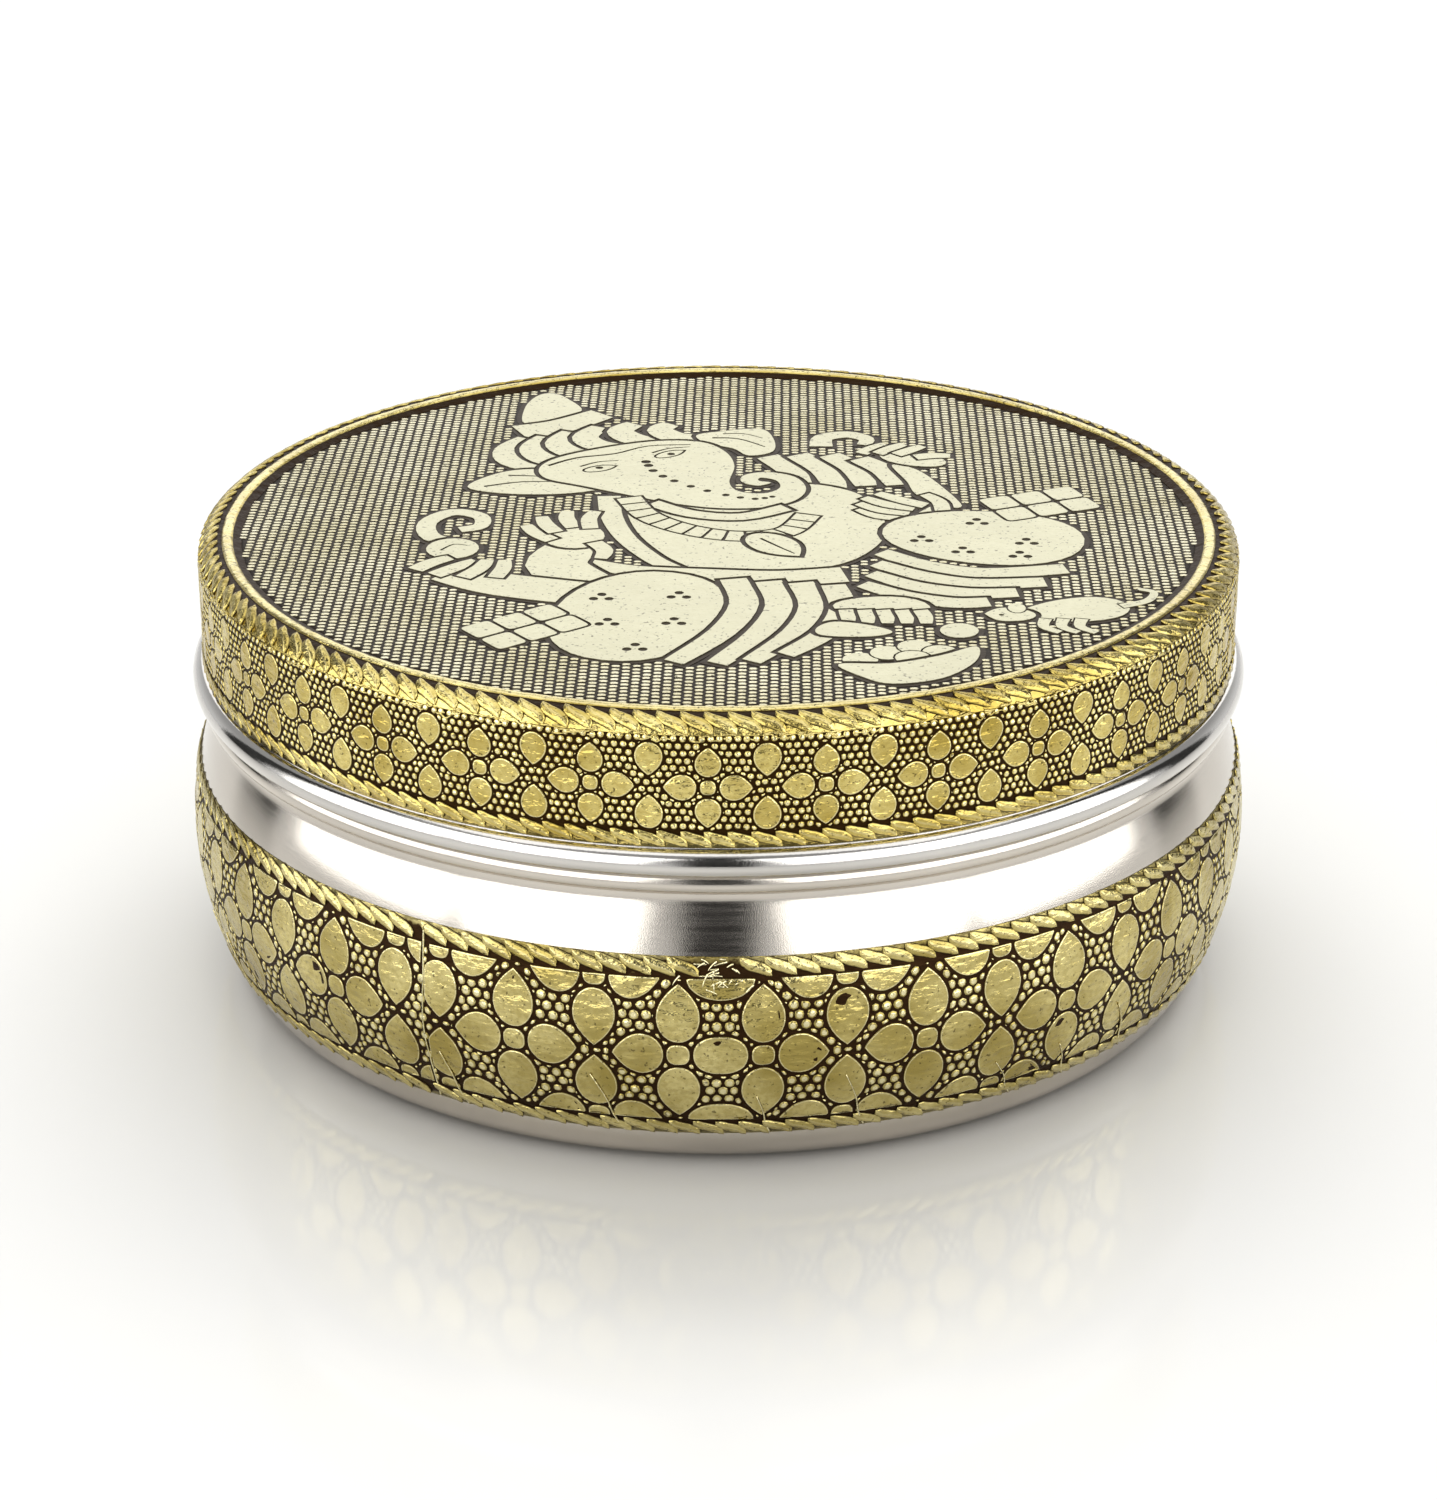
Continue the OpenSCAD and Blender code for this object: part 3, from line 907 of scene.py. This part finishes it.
side_plates, side_beads, side_ropes = Relief(), Relief(), Relief()
field_top = SIDE_STRAIGHT + 1.2
limits = [(np.array([0, SIDE_ROPE + 0.5]), up), (np.array([0, field_top]), down)]
for k in range(SIDE_REPEATS):
    x = SIDE_PITCH * k
    shapes = []
    for dx in (-SIDE_PITCH, 0, SIDE_PITCH):
        shapes += flower(x + dx, FLOWER_T, *SIDE_FLOWER)
        top_petal = placed(leaf(5.8, 4.6), x + dx + SIDE_PITCH / 2, 18.0, 270)
        low_petal = placed(leaf(6.0, 4.6), x + dx + SIDE_PITCH / 2, 3.15, 90)
        shapes += [top_petal, low_petal]
    shapes = clipped(shapes, limits)
    own = [o for o in shapes if x - SIDE_PITCH * 0.3 <= o[:, 0].mean() < x + SIDE_PITCH * 0.7]
    for outline in own:
        plate(side_plates, outline, 0.03, 0.27, 0.04, 26)
    span = (SIDE_ROPE + 0.85, field_top - 0.3)
    for cell in hex_cells(x, x + SIDE_PITCH, span, SIDE_PITCH / 13, shapes, 0.2):
        bead(side_beads, cell, 0.04, 0.28 + rng.uniform(-0.04, 0.0), 0.6)
    for i in range(5):
        px = x + SIDE_PITCH * (i + 0.5) / 5 + rng.normal(0, 0.04)
        strand(side_ropes, px, SIDE_ROPE / 2 + 0.25, SIDE_PITCH / 5 * 1.3, SIDE_ROPE, 1.85, 0.03, 0.45)

# Flattened scraps of pattern where the side is rolled over under the shoulder
scraps = Relief()
for _ in range(620):
    x = rng.uniform(0, 2 * math.pi * SIDE_RADIUS)
    y = field_top + rng.uniform(-0.9, 0.35)
    length = rng.uniform(0.5, 2.2)
    path = [(x, y), (x + length / 2, y + rng.normal(0, 0.25)), (x + length, y)]
    ridge(scraps, path, rng.uniform(0.35, 0.8), 0.3, 0.05, 0.3, 0.95)
build("lid_side_foil_scraps", scraps, SIDE, SIDE_FOIL, "lid")

# Lid shoulder: a thick rope, a dark groove and a plain raised ring
SHOULDER_STRANDS = 151
rope_mid = SIDE_STRAIGHT + SHOULDER_LENGTH * 0.62
rope_pitch = 2 * math.pi * SIDE_RADIUS / SHOULDER_STRANDS
shoulder_rope = Relief()
for k in range(SHOULDER_STRANDS):
    x = rope_pitch * (k + 0.5) + rng.normal(0, 0.05)
    strand(shoulder_rope, x, rope_mid + rng.normal(0, 0.05), rope_pitch * 1.35, 4.1, 2.25, 0.02, 0.56)

s = np.arange(AROUND) * 2 * math.pi * SIDE_RADIUS / AROUND
t = np.unique(np.concatenate([
    np.linspace(0, SIDE_STRAIGHT, 12), np.linspace(SIDE_STRAIGHT, SIDE_LENGTH, 52)
]))
ss, tt = np.meshgrid(s, t, indexing="ij")
past = tt - SIDE_STRAIGHT
plain_low, plain_high = 1.4, SHOULDER_LENGTH * 0.36
ring_mid = SIDE_STRAIGHT + SHOULDER_LENGTH + (edge_x - 86.5)
ring_up = np.sqrt(np.clip(1 - ((tt - ring_mid) / 0.95) ** 2, 0, 1))
heights = 0.06 + 0.012 * waves(ss, tt, 4, 31) + 0.46 * ring_up
tones = 0.08 + 0.05 * waves(ss, tt, 3, 32)
tones = np.where((past > plain_low - 0.2) & (past < plain_high + 0.5), 0.8, tones)
tones = np.maximum(tones, np.clip(ring_up * 2.4, 0, 1))
tones = np.where(tt < 0.25, 0.8, tones)
side_ground = Relief()
keep = t <= SIDE_STRAIGHT + plain_low + 1e-6
side_ground.grid(s, t[keep], heights[:, keep], tones[:, keep])
side_sheet = build("lid_side_foil_sheet", side_ground, SIDE, SIDE_FOIL, "lid")
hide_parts("lid_side_foil")
for kind, relief, dents in (
    ("petals", side_plates, dented(41, 0.09, 4.5)), ("beads", side_beads, None),
    ("rope", side_ropes, dented(43, 0.05, 4)),
):
    build(f"lid_side_foil_{kind}", relief, SIDE, SIDE_FOIL, "lid", dents)

edge_ground = Relief()
rest = t >= SIDE_STRAIGHT + plain_low - 0.6
edge_ground.grid(s, t[rest], heights[:, rest] + 0.05, tones[:, rest])
build("lid_edge_foil_sheet", edge_ground, SIDE, SIDE_FOIL, "lid")
build("lid_edge_foil_rope", shoulder_rope, SIDE, SIDE_FOIL, "lid", dented(45, 0.05, 5))


# --- Lid top: a beaded field and a seated elephant-headed figure, drawn for this part ---
FIELD_Z = LID_TOP - DISH_DEPTH
FIELD_R = DISH_R + 0.6
TOP = (
    lambda q: np.column_stack([q[:, 0], q[:, 1], FIELD_Z + q[:, 2]]),
    lambda q: np.column_stack([0.5 + q[:, 0] / 190, 0.5 + q[:, 1] / 190]),
    0.0,
)
LINE = 0.95
covered = []
drawn = []


def panel(outline, edge=LINE):
    """A flat plate of the figure inside an engraved line. It cuts away what was drawn under it."""
    o = anticlockwise(np.asarray(outline, float))
    wide = grown(o, edge)
    drawn.append((wide, False))
    drawn.append((o, True))
    covered.append(wide)


def engraved(points, width):
    """An engraved line along a path, thinner towards its end."""
    drawn.append((ribbon(points, width, width * 0.5), False))


def pit(x, y, r):
    drawn.append((egg(r, r, 12) + [x, y], False))


def cluster(x, y):
    for dx, dy in ((-1.3, -0.7), (1.3, -0.7), (0, 1.3)):
        pit(x + dx, y + dy, 0.8)


def row(path, start, end, count):
    """A row of separate pieces along a curved path, such as the links of a necklace."""
    whole = smooth(path, closed=False, steps=12)
    length = np.concatenate([[0], np.cumsum(np.linalg.norm(np.diff(whole, axis=0), axis=1))])
    marks = np.linspace(0, length[-1], count + 1)
    for a, b in zip(marks[:-1], marks[1:]):
        middle, half = (a + b) / 2, (b - a) / 2 * 0.86
        at = [middle - half, middle, middle + half]
        piece = np.stack([np.interp(at, length, whole[:, k]) for k in (0, 1)], 1)
        width = start + (end - start) * middle / length[-1]
        panel(ribbon(piece, width, width, steps=2), 0.55)


def bands(strips, start, end, bulge, edge=LINE):
    """Bands side by side, as (path, width), with the share of its width each has at start and end."""
    for path, width in strips:
        panel(ribbon(path, width * start, width * end, bulge), edge)


def fingers(hand):
    bands(hand, 1, 0.75, 0.2, 0.65)


def chequer(x, y, degrees, columns, rows, size):
    """A cuff of square plates in rows."""
    square = egg(size * 0.45, size * 0.45, 20, 0, 7)
    for i in range(columns):
        for j in range(rows):
            middle = np.array([[(i - (columns - 1) / 2) * size, (j - (rows - 1) / 2) * size]])
            at = turned(middle, degrees)[0]
            panel(placed(square, x + at[0], y + at[1], degrees), 0.6)


# Turban: a knot, a band and a fan of folds
panel(smooth([(-38, 54), (-38.5, 64), (-36.5, 71), (-33.5, 72.5), (-30.5, 69), (-27.5, 62), (-32, 57.5)]))
panel(ribbon([(-38.5, 48.5), (-31, 52.5), (-23.5, 60)], 8.5, 6))
bands([
    ([(-37, 45), (-40, 38.5), (-38.5, 32), (-32, 27.5)], 5.2),
    ([(-33.5, 46), (-35.5, 39.5), (-33, 33.5), (-27, 30.5)], 4.8),
    ([(-29, 49), (-31, 42.5), (-28, 37), (-22, 34.5)], 4.6),
    ([(-23.5, 52), (-26, 46), (-23, 41), (-16, 38.5)], 4.8),
    ([(-17, 54), (-19.5, 49.5), (-16, 44.5), (-9, 42.5)], 5.0),
    ([(-10, 54), (-12, 50.5), (-8.5, 46), (-2, 45.5)], 4.8),
], 0.75, 1, 0.6)
# Ears, like leaves with folds
panel(smooth([(-46, 17.5), (-40.5, 25.5), (-33, 27.5), (-26, 24), (-19.5, 19), (-27, 14.5), (-38, 14)]))
engraved([(-43, 17.8), (-36, 20.5), (-28, 20.5)], 0.7)
engraved([(-39, 24), (-33, 23.5), (-27.5, 22)], 0.6)
panel(smooth([(-5, 47.5), (0, 50), (7, 51.5), (9.5, 46), (9.5, 38.5), (5, 36), (2, 40), (-3, 43)]))
engraved([(-2, 46), (3, 45.5), (8, 41)], 0.7)
engraved([(0, 48.5), (4, 48.5), (7.5, 46)], 0.5)
# Shoulders and the hand held up on the right
bands([
    ([(8.5, 35.5), (13, 27), (15, 16)], 4.4), ([(14, 36.5), (19, 28), (21, 18)], 4.6),
    ([(20, 36.5), (24.5, 29), (26.5, 19.5)], 4.4), ([(25.5, 34.5), (30, 28), (32, 20)], 4.2),
], 1, 0.9, 0.5)
panel(smooth([(31.5, 31), (36, 28.5), (40, 20), (43.5, 9), (40, 9), (35.5, 15), (34, 22)]))
panel(ribbon([(18.5, 41.5), (19, 46.5), (23.5, 48.5), (27, 46), (26.5, 42.5)], 4.4, 2.6))
panel(placed(egg(6.5, 3.6, 20), 35.5, 34.5, -24))
fingers([
    ([(26, 37.5), (28, 40.5), (30.5, 43)], 2.6), ([(29, 37.5), (31.5, 40.5), (34, 43)], 2.6),
    ([(32.5, 37), (35, 39.5), (37.5, 42)], 2.6), ([(36, 35.5), (39, 36.5), (42.5, 36.5)], 2.8),
])
# Body, sashes and the hem of the shawl
panel(smooth([
    (-19.5, 14), (-17.5, 4), (-15, -6), (-12, -15), (-6, -22), (4, -25), (14, -24.5), (23, -19.5),
    (28.5, -10), (29.5, 0), (27.5, 10), (23, 17), (14, 20), (2, 12),
]))
panel(ribbon([(-20, 13), (-19, 2), (-16, -9), (-11, -19), (-7, -24)], 4.2, 3.2))
panel(ribbon([(-22, -21), (-14, -25), (-2, -27), (11, -28), (22, -26)], 3.2, 7, 0.6))
# Head and trunk, curling up at its end
panel(smooth([
    (-33.5, 28.5), (-32, 22.5), (-25, 18.5), (-17, 14), (-8.5, 9.5), (0, 7), (8, 7.6), (13.5, 11.2),
    (15.6, 17.5), (13.6, 24), (8.6, 26.6), (4.4, 25), (3.8, 21.4), (6.6, 19.2), (9.2, 20.8), (7, 21.8),
    (7.4, 23.6), (10.2, 22), (10.8, 18), (8, 15), (3.4, 16), (1.6, 21), (2.4, 30), (0.6, 38),
    (-4, 43.5), (-12, 44), (-21, 40.5), (-30, 34.5),
]))
engraved([(-32, 29.5), (-27, 34), (-20, 36.5), (-14, 41), (-6, 42)], 0.8)
for x, y, turn in ((-9.5, 36.5, 38), (-22.5, 28.5, 28)):
    panel(placed(leaf(6.2, 2.6, 0.5), x - 2.6, y - 1.8, turn), 0.45)
    pit(x, y, 0.75)
    engraved([(x - 3.6, y + 0.6), (x - 0.5, y + 3.2), (x + 3.4, y + 4.2)], 0.6)
dots = smooth([(-14, 32), (-12, 26), (-7, 20), (0, 14.6), (6, 12), (9.5, 13.2)], closed=False, steps=12)
for k in range(12):
    u = k / 11
    at = dots[int(u * (len(dots) - 1))]
    pit(at[0], at[1], 0.95 - 0.35 * u)
panel(ribbon([(-12, 9.5), (-5, 4), (4, 2.5), (12, 7.5)], 3.2, 3.4))
# The hand that rests on the belly
panel(ribbon([(45, -4), (41, 1), (35.5, 5)], 8.5, 8.5, 0.4))
fingers([
    ([(33.5, 2.5), (28.5, 3.5), (25, 7)], 2.8), ([(34, 5), (29, 6.5), (25, 10)], 2.8),
    ([(35, 7.5), (30, 9.5), (26, 13)], 2.8), ([(37, 9), (32.5, 12), (28.5, 15.5)], 2.8),
    ([(40, 6), (39.5, 11), (37, 15)], 2.8),
])
# Necklace with links and a leaf-shaped pendant
row([(-16.5, 12.5), (-12.5, 2.5), (-5, -4.5), (4, -7.5), (12, -5), (16, 4)], 4.6, 4.4, 14)
panel(placed(leaf(13.5, 8, 0.45), 6, -6.5, -52))
engraved([(7.5, -8.5), (11, -13), (13.5, -16)], 0.6)
# The open hand on the left, and the lower hand that holds a flower
panel(ribbon([(-24.5, -12), (-27.5, -22), (-22, -31)], 9, 10.5, 0.5))
panel(placed(egg(5.6, 6.6, 22), -25.5, -7.5, 15))
fingers([
    ([(-29, -10), (-32, -6.5), (-34, -2.5)], 2.9), ([(-28.5, -6), (-30.5, -2), (-31.5, 2)], 2.9),
    ([(-25.5, -3.5), (-27, 1), (-27, 5)], 2.9), ([(-22.5, -4), (-23, 1), (-22, 5)], 2.8),
    ([(-21.5, -11), (-19.5, -15), (-20, -19)], 3.0),
])
panel(ribbon(
    [(-43, -13), (-50, -9), (-51.5, -1.5), (-47.5, 4), (-42.5, 2), (-42, -3), (-45.5, -5)], 3.8, 2.6
))
panel(placed(egg(4.6, 5.0, 20), -46, -14.5, 0))
engraved([(-48, -15.5), (-46, -12.5), (-43.5, -13)], 0.5)
panel(ribbon([(-46, -26), (-38, -31), (-29, -34), (-21, -36)], 8.5, 10, 0.4))
fingers([
    ([(-51.5, -25), (-49, -21.5), (-46, -19)], 3.2), ([(-48, -27.5), (-44.5, -23.5), (-41.5, -20.5)], 3.2),
    ([(-43, -28.5), (-40.5, -24), (-39.5, -20)], 3.0), ([(-37.5, -28.5), (-36.5, -24), (-36.5, -20)], 2.8),
])
# Legs: two spotted knees, folds of cloth and chequered cuffs
panel(placed(egg(17.8, 13.2, 32, 0.1, 2.1), 46.5, -7, -12))
for x, y in ((45.8, 0.5), (35.7, -8.5), (42.7, -14), (54, -9.5), (52.5, -16)):
    cluster(x, y)
bands([
    ([(28.5, -15), (36, -21.5), (46, -25), (60, -22.5)], 4.4),
    ([(27.5, -20.5), (35, -26.5), (44, -30), (56, -29)], 4.2),
    ([(26.5, -25.5), (34, -31.5), (43, -34.5), (51, -34)], 4.0),
    ([(25, -30.5), (32, -36), (40, -39), (46, -38.5)], 4.0),
], 0.8, 1, 0.4)
chequer(57.5, 10.5, 24, 3, 2, 6.4)
panel(placed(egg(14.2, 20.5, 32, 0, 2.15), -12.5, -45.5, -14))
for x, y in ((-19, -37.5), (-6, -36.5), (-17.5, -49), (-6.5, -48.5), (-12.5, -60)):
    cluster(x, y)
bands([
    ([(3, -28.5), (5, -40), (1.5, -53), (-6, -66)], 4.6),
    ([(9, -29.5), (11, -41), (7.5, -54), (1, -66.5)], 4.6),
    ([(14.5, -30), (16.5, -41), (13.5, -53), (6.5, -65.5)], 4.4),
    ([(20, -31), (21.5, -42), (18.5, -53), (12, -62.5)], 4.2),
], 1, 0.8, 0.4)
chequer(-31, -51, 38, 3, 2, 6.2)
# Feet
panel(placed(egg(8.2, 5.2, 22, 0.2), 28, -41.5, -6))
fingers([([(22 + 3.1 * k, -42.5), (22.3 + 3.2 * k, -45.5), (22.4 + 3.2 * k, -48.5)], 2.5) for k in range(5)])
panel(smooth([(17, -51), (20, -48), (26, -49.5), (29.5, -52.5), (25, -54.5), (18, -54)]))
# Bowl of sweets and a small mouse
for x, y in ((24, -64.5), (28.5, -61.5), (33, -58.8), (37, -61), (32.5, -63.5)):
    panel(egg(2.9, 2.9, 16) + [x, y], 0.35)
panel(smooth([
    (20.5, -66.5), (29, -66), (37, -62.5), (43, -58.5), (42.5, -65), (37, -72), (29, -74.5), (24, -71.5),
]))
panel(egg(3.2, 3.2, 18) + [40.5, -51.5])
panel(placed(egg(9.5, 5.2, 26, 0.25), 60, -42, 14))
panel(placed(leaf(8.5, 6, 0.6), 53.5, -44.5, 176))
panel(egg(1.5, 2.2, 14) + [50.5, -41.2], 0.3)
pit(47.8, -44.4, 0.45)
for k in range(3):
    panel(ribbon([(55 + 3 * k, -46), (54.5 + 3 * k, -49.5), (57 + 3 * k, -52)], 2.2, 1.4), 0.3)
panel(ribbon([(68, -40), (72.5, -37.5), (74, -33.5), (71.5, -32)], 2.0, 1.0), 0.3)


def carve(layers, low, base, top):
    """The drawing as one plate: each place takes the last layer over it, raised or engraved."""
    points, loops = [], []
    for outline, _ in layers:
        loops.append(list(range(len(points), len(points) + len(outline))))
        points += [Vector((float(x), float(y))) for x, y in outline]
    found = geometry.delaunay_2d_cdt(points, [], loops, 1, 0.004, True)
    places, cells, owners = found[0], found[2], found[5]
    flat = np.array([[v.x, v.y] for v in places])
    raised, sunk = [], []
    for cell, owner in zip(cells, owners):
        if owner:
            (raised if layers[max(owner)][1] else sunk).append(cell)
    n = len(flat)
    column = lambda z: np.column_stack([flat, np.full(n, z)])
    faces = raised + [[i + n for i in cell] for cell in sunk]
    faces += [[i + 2 * n for i in cell[::-1]] for cell in raised + sunk]
    edges = {}
    for kind, group in ((0, raised), (1, sunk)):
        for cell in group:
            for i, j in zip(cell, cell[1:] + cell[:1]):
                edges[(i, j)] = kind
    for (i, j), kind in edges.items():
        other = edges.get((j, i))
        if kind == 0 and other == 1:
            faces.append([i, i + n, j + n, j])
        elif other is None:
            faces.append([i + kind * n, i + 2 * n, j + 2 * n, j + kind * n])
    tones = np.concatenate([np.ones(n), np.full(n, 0.05), np.zeros(n)])
    return np.concatenate([column(top), column(base), column(low)]), tones, faces


def inside(outline, points):
    """Which points lie in an outline, by counting the edges to their right."""
    a, b = outline, np.roll(outline, -1, 0)
    x, y = points[:, 0][:, None], points[:, 1][:, None]
    spans = (a[:, 1] > y) != (b[:, 1] > y)
    rise = np.where(np.abs(b[:, 1] - a[:, 1]) < 1e-9, 1e-9, b[:, 1] - a[:, 1])
    cross = a[:, 0] + (y - a[:, 1]) / rise * (b[:, 0] - a[:, 0])
    return (np.sum(spans & (cross > x), axis=1) % 2).astype(bool)


BEAD_STEP_X = 1.7
BEAD_STEP_Y = 1.42
columns = int(FIELD_R / BEAD_STEP_X) + 1
rows = int(FIELD_R / BEAD_STEP_Y) + 1
grid = np.array([
    (i * BEAD_STEP_X, (j + 0.5 * (i % 2)) * BEAD_STEP_Y)
    for i in range(-columns, columns + 1) for j in range(-rows, rows + 1)
])
grid = grid[np.hypot(grid[:, 0], grid[:, 1]) < FIELD_R - 0.7]
hidden = np.zeros(len(grid), bool)
for outline in covered:
    low, high = outline.min(0) - 0.1, outline.max(0) + 0.1
    close = np.all((grid > low) & (grid < high), axis=1)
    hidden[np.where(close)[0]] |= inside(outline, grid[close])
field = Relief()
bead_ring = egg(0.87, 0.48, 8, 0, 3.2)
for x, y in grid[~hidden]:
    ring = bead_ring * rng.uniform(0.94, 1.03) + [x, y] + rng.normal(0, 0.02, 2)
    high = 0.27 + rng.uniform(-0.03, 0.02)
    # Bead peaks at tone 1.05 are painted pale: rubbed wear and a painted highlight.
    field.stack([(ring, 0.05, 0.05), (shrunk(ring, 0.66), high - 0.05, 0.8)], (high, 1.05))

SHEET_RINGS, SHEET_AROUND = 40, 180
points, faces, tones = [], [], []
for layer_z in (0.07, 0.02):
    for k in range(SHEET_RINGS + 1):
        r = FIELD_R * max(k, 0.02) / SHEET_RINGS
        for i in range(SHEET_AROUND):
            a = 2 * math.pi * i / SHEET_AROUND
            points.append((r * math.cos(a), r * math.sin(a), layer_z))
            tones.append(0.1)
back = (SHEET_RINGS + 1) * SHEET_AROUND
last = SHEET_RINGS * SHEET_AROUND
for k in range(SHEET_RINGS):
    a, b = k * SHEET_AROUND, (k + 1) * SHEET_AROUND
    for i in range(SHEET_AROUND):
        j = (i + 1) % SHEET_AROUND
        quad = [a + i, b + i, b + j, a + j]
        faces += [quad, [v + back for v in quad[::-1]]]
for i in range(SHEET_AROUND):
    j = (i + 1) % SHEET_AROUND
    faces.append([last + i, last + back + i, last + back + j, last + j])
faces.append(list(range(SHEET_AROUND)))
faces.append([back + i for i in range(SHEET_AROUND)][::-1])
sheet = Relief()
sheet.add(points, tones, faces)
top_sheet = build("lid_top_foil_sheet", sheet, TOP, FIELD_FOIL, "lid")
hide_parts("lid_top_foil")
build("lid_top_foil_beads", field, TOP, FIELD_FOIL, "lid")
points, tones, faces = carve(drawn, 0.03, 0.15, 0.33)
used = sorted({i for face in faces for i in face})
renumber = {old: new for new, old in enumerate(used)}
figure = Relief()
figure.add(points[used], tones[used], [[renumber[i] for i in face] for face in faces])
made = build("lid_top_foil_figure", figure, TOP, FIGURE_FOIL, "lid")
made.data.set_sharp_from_angle(angle=math.radians(30))


# --- Floor, light and camera ---
def floor_material():
    m = Nodes("glossy_white_floor")
    patch = m.noise(1.5, 2)
    colour = m.mix(patch, (0.71, 0.705, 0.685, 1), (0.75, 0.745, 0.73, 1))
    return m.done(colour, m.between(patch, 0, 1, 0.07, 0.10), metallic=0.0)


FLOOR_HALF = 5.0
floor_mesh = bpy.data.meshes.new("floor")
corners = [(x * FLOOR_HALF, y * FLOOR_HALF, 0) for x, y in ((-1, -1), (1, -1), (1, 1), (-1, 1))]
floor_mesh.from_pydata(corners, [], [(0, 1, 2, 3)])
floor = bpy.data.objects.new("floor", floor_mesh)
bpy.context.scene.collection.objects.link(floor)
floor_mesh.materials.append(floor_material())
floor.location.z = -0.00002


# The key, fill and back boxes light the object only, so the glossy floor doesn't mirror them
object_only = bpy.data.collections.new("object_only")
object_only.objects.link(floor)
object_only.collection_objects[0].light_linking.link_state = "EXCLUDE"
floor_only = bpy.data.collections.new("floor_only")
floor_only.objects.link(floor)


def softbox(name, place, size, power, target=(0, 0, 0.04), receivers=None):
    data = bpy.data.lights.new(name, "AREA")
    data.shape = "RECTANGLE"
    data.size, data.size_y = size
    data.energy = power
    lamp = bpy.data.objects.new(name, data)
    lamp.location = place
    lamp.visible_camera = False
    lamp.rotation_euler = (Vector(target) - Vector(place)).to_track_quat("-Z", "Y").to_euler()
    bpy.context.scene.collection.objects.link(lamp)
    if receivers:
        lamp.light_linking.receiver_collection = receivers


def around_at(degrees, distance, height):
    """A place at an angle round the object, measured from the camera's side towards +X."""
    a = math.radians(degrees)
    return (distance * math.sin(a), -distance * math.cos(a), height)


for side in (-1, 1):
    softbox(f"key_{side}", around_at(33 * side, 1.1, 0.5), (0.84, 1.15), 6.0, receivers=object_only)
    softbox(f"fill_{side}", around_at(75 * side, 1.1, 0.5), (0.96, 1.15), 6.8, receivers=object_only)
softbox("top_box", (0, 0.2, 1.3), (1.6, 1.4), 8)
softbox("back_box", (0, 1.6, 0.8), (1.8, 1.0), 6, receivers=object_only)
softbox("backdrop_wash", (0, 1.5, 2.0), (3.0, 1.2), 48, (0, 1.3, 0), floor_only)
softbox("floor_wash", (0, -0.3, 2.2), (3.0, 3.0), 28, (0, -0.3, 0), floor_only)


def dark_flag(name, degrees, width):
    """A dark card outside the picture, seen only as a soft patch in the steel."""
    mesh = bpy.data.meshes.new(name)
    half, tall = width / 2, 1.7
    mesh.from_pydata([(-half, 0, 0), (half, 0, 0), (half, 0, tall), (-half, 0, tall)], [], [(0, 1, 2, 3)])
    card = bpy.data.objects.new(name, mesh)
    card.location = around_at(degrees, 1.0, 0.0)
    card.rotation_euler.z = math.radians(degrees)
    m = Nodes(name)
    roughness = m.between(m.noise(3), 0, 1, 0.8, 0.95)
    mesh.materials.append(m.done((0.012, 0.012, 0.012, 1), roughness, metallic=0.0))
    bpy.context.scene.collection.objects.link(card)
    card.visible_camera = False
    card.visible_diffuse = False
    card.visible_shadow = False


dark_flag("front_flag", 1.0, 0.26)
dark_flag("left_flag", -111, 0.30)
dark_flag("right_flag", 111, 0.30)

world = bpy.data.worlds.new("studio")
bpy.context.scene.world = world
world.use_nodes = True
sky = world.node_tree
direction = sky.nodes.new("ShaderNodeTexCoord")
parts = sky.nodes.new("ShaderNodeSeparateXYZ")
fade = sky.nodes.new("ShaderNodeMapRange")
for key, value in (("From Min", 0.08), ("From Max", 0.45), ("To Min", 0.80), ("To Max", 0.42)):
    fade.inputs[key].default_value = value
sky.links.new(direction.outputs["Generated"], parts.inputs[0])
sky.links.new(parts.outputs["Z"], fade.inputs["Value"])
sky.links.new(fade.outputs["Result"], sky.nodes["Background"].inputs["Strength"])
sky.nodes["Background"].inputs["Color"].default_value = (0.96, 0.97, 0.98, 1)
bpy.context.scene.view_settings.view_transform = "Standard"

CAMERA_BACK = 0.612
CAMERA_UP = 0.303
camera_data = bpy.data.cameras.new("camera")
camera_data.lens = 88
camera_data.sensor_width = 36
camera = bpy.data.objects.new("camera", camera_data)
camera.location = (0.011, -CAMERA_BACK, CAMERA_UP)
aim = Vector((0, 0, 0.036))
camera.rotation_euler = (aim - camera.location).to_track_quat("-Z", "Y").to_euler()
bpy.context.scene.collection.objects.link(camera)
bpy.context.scene.camera = camera
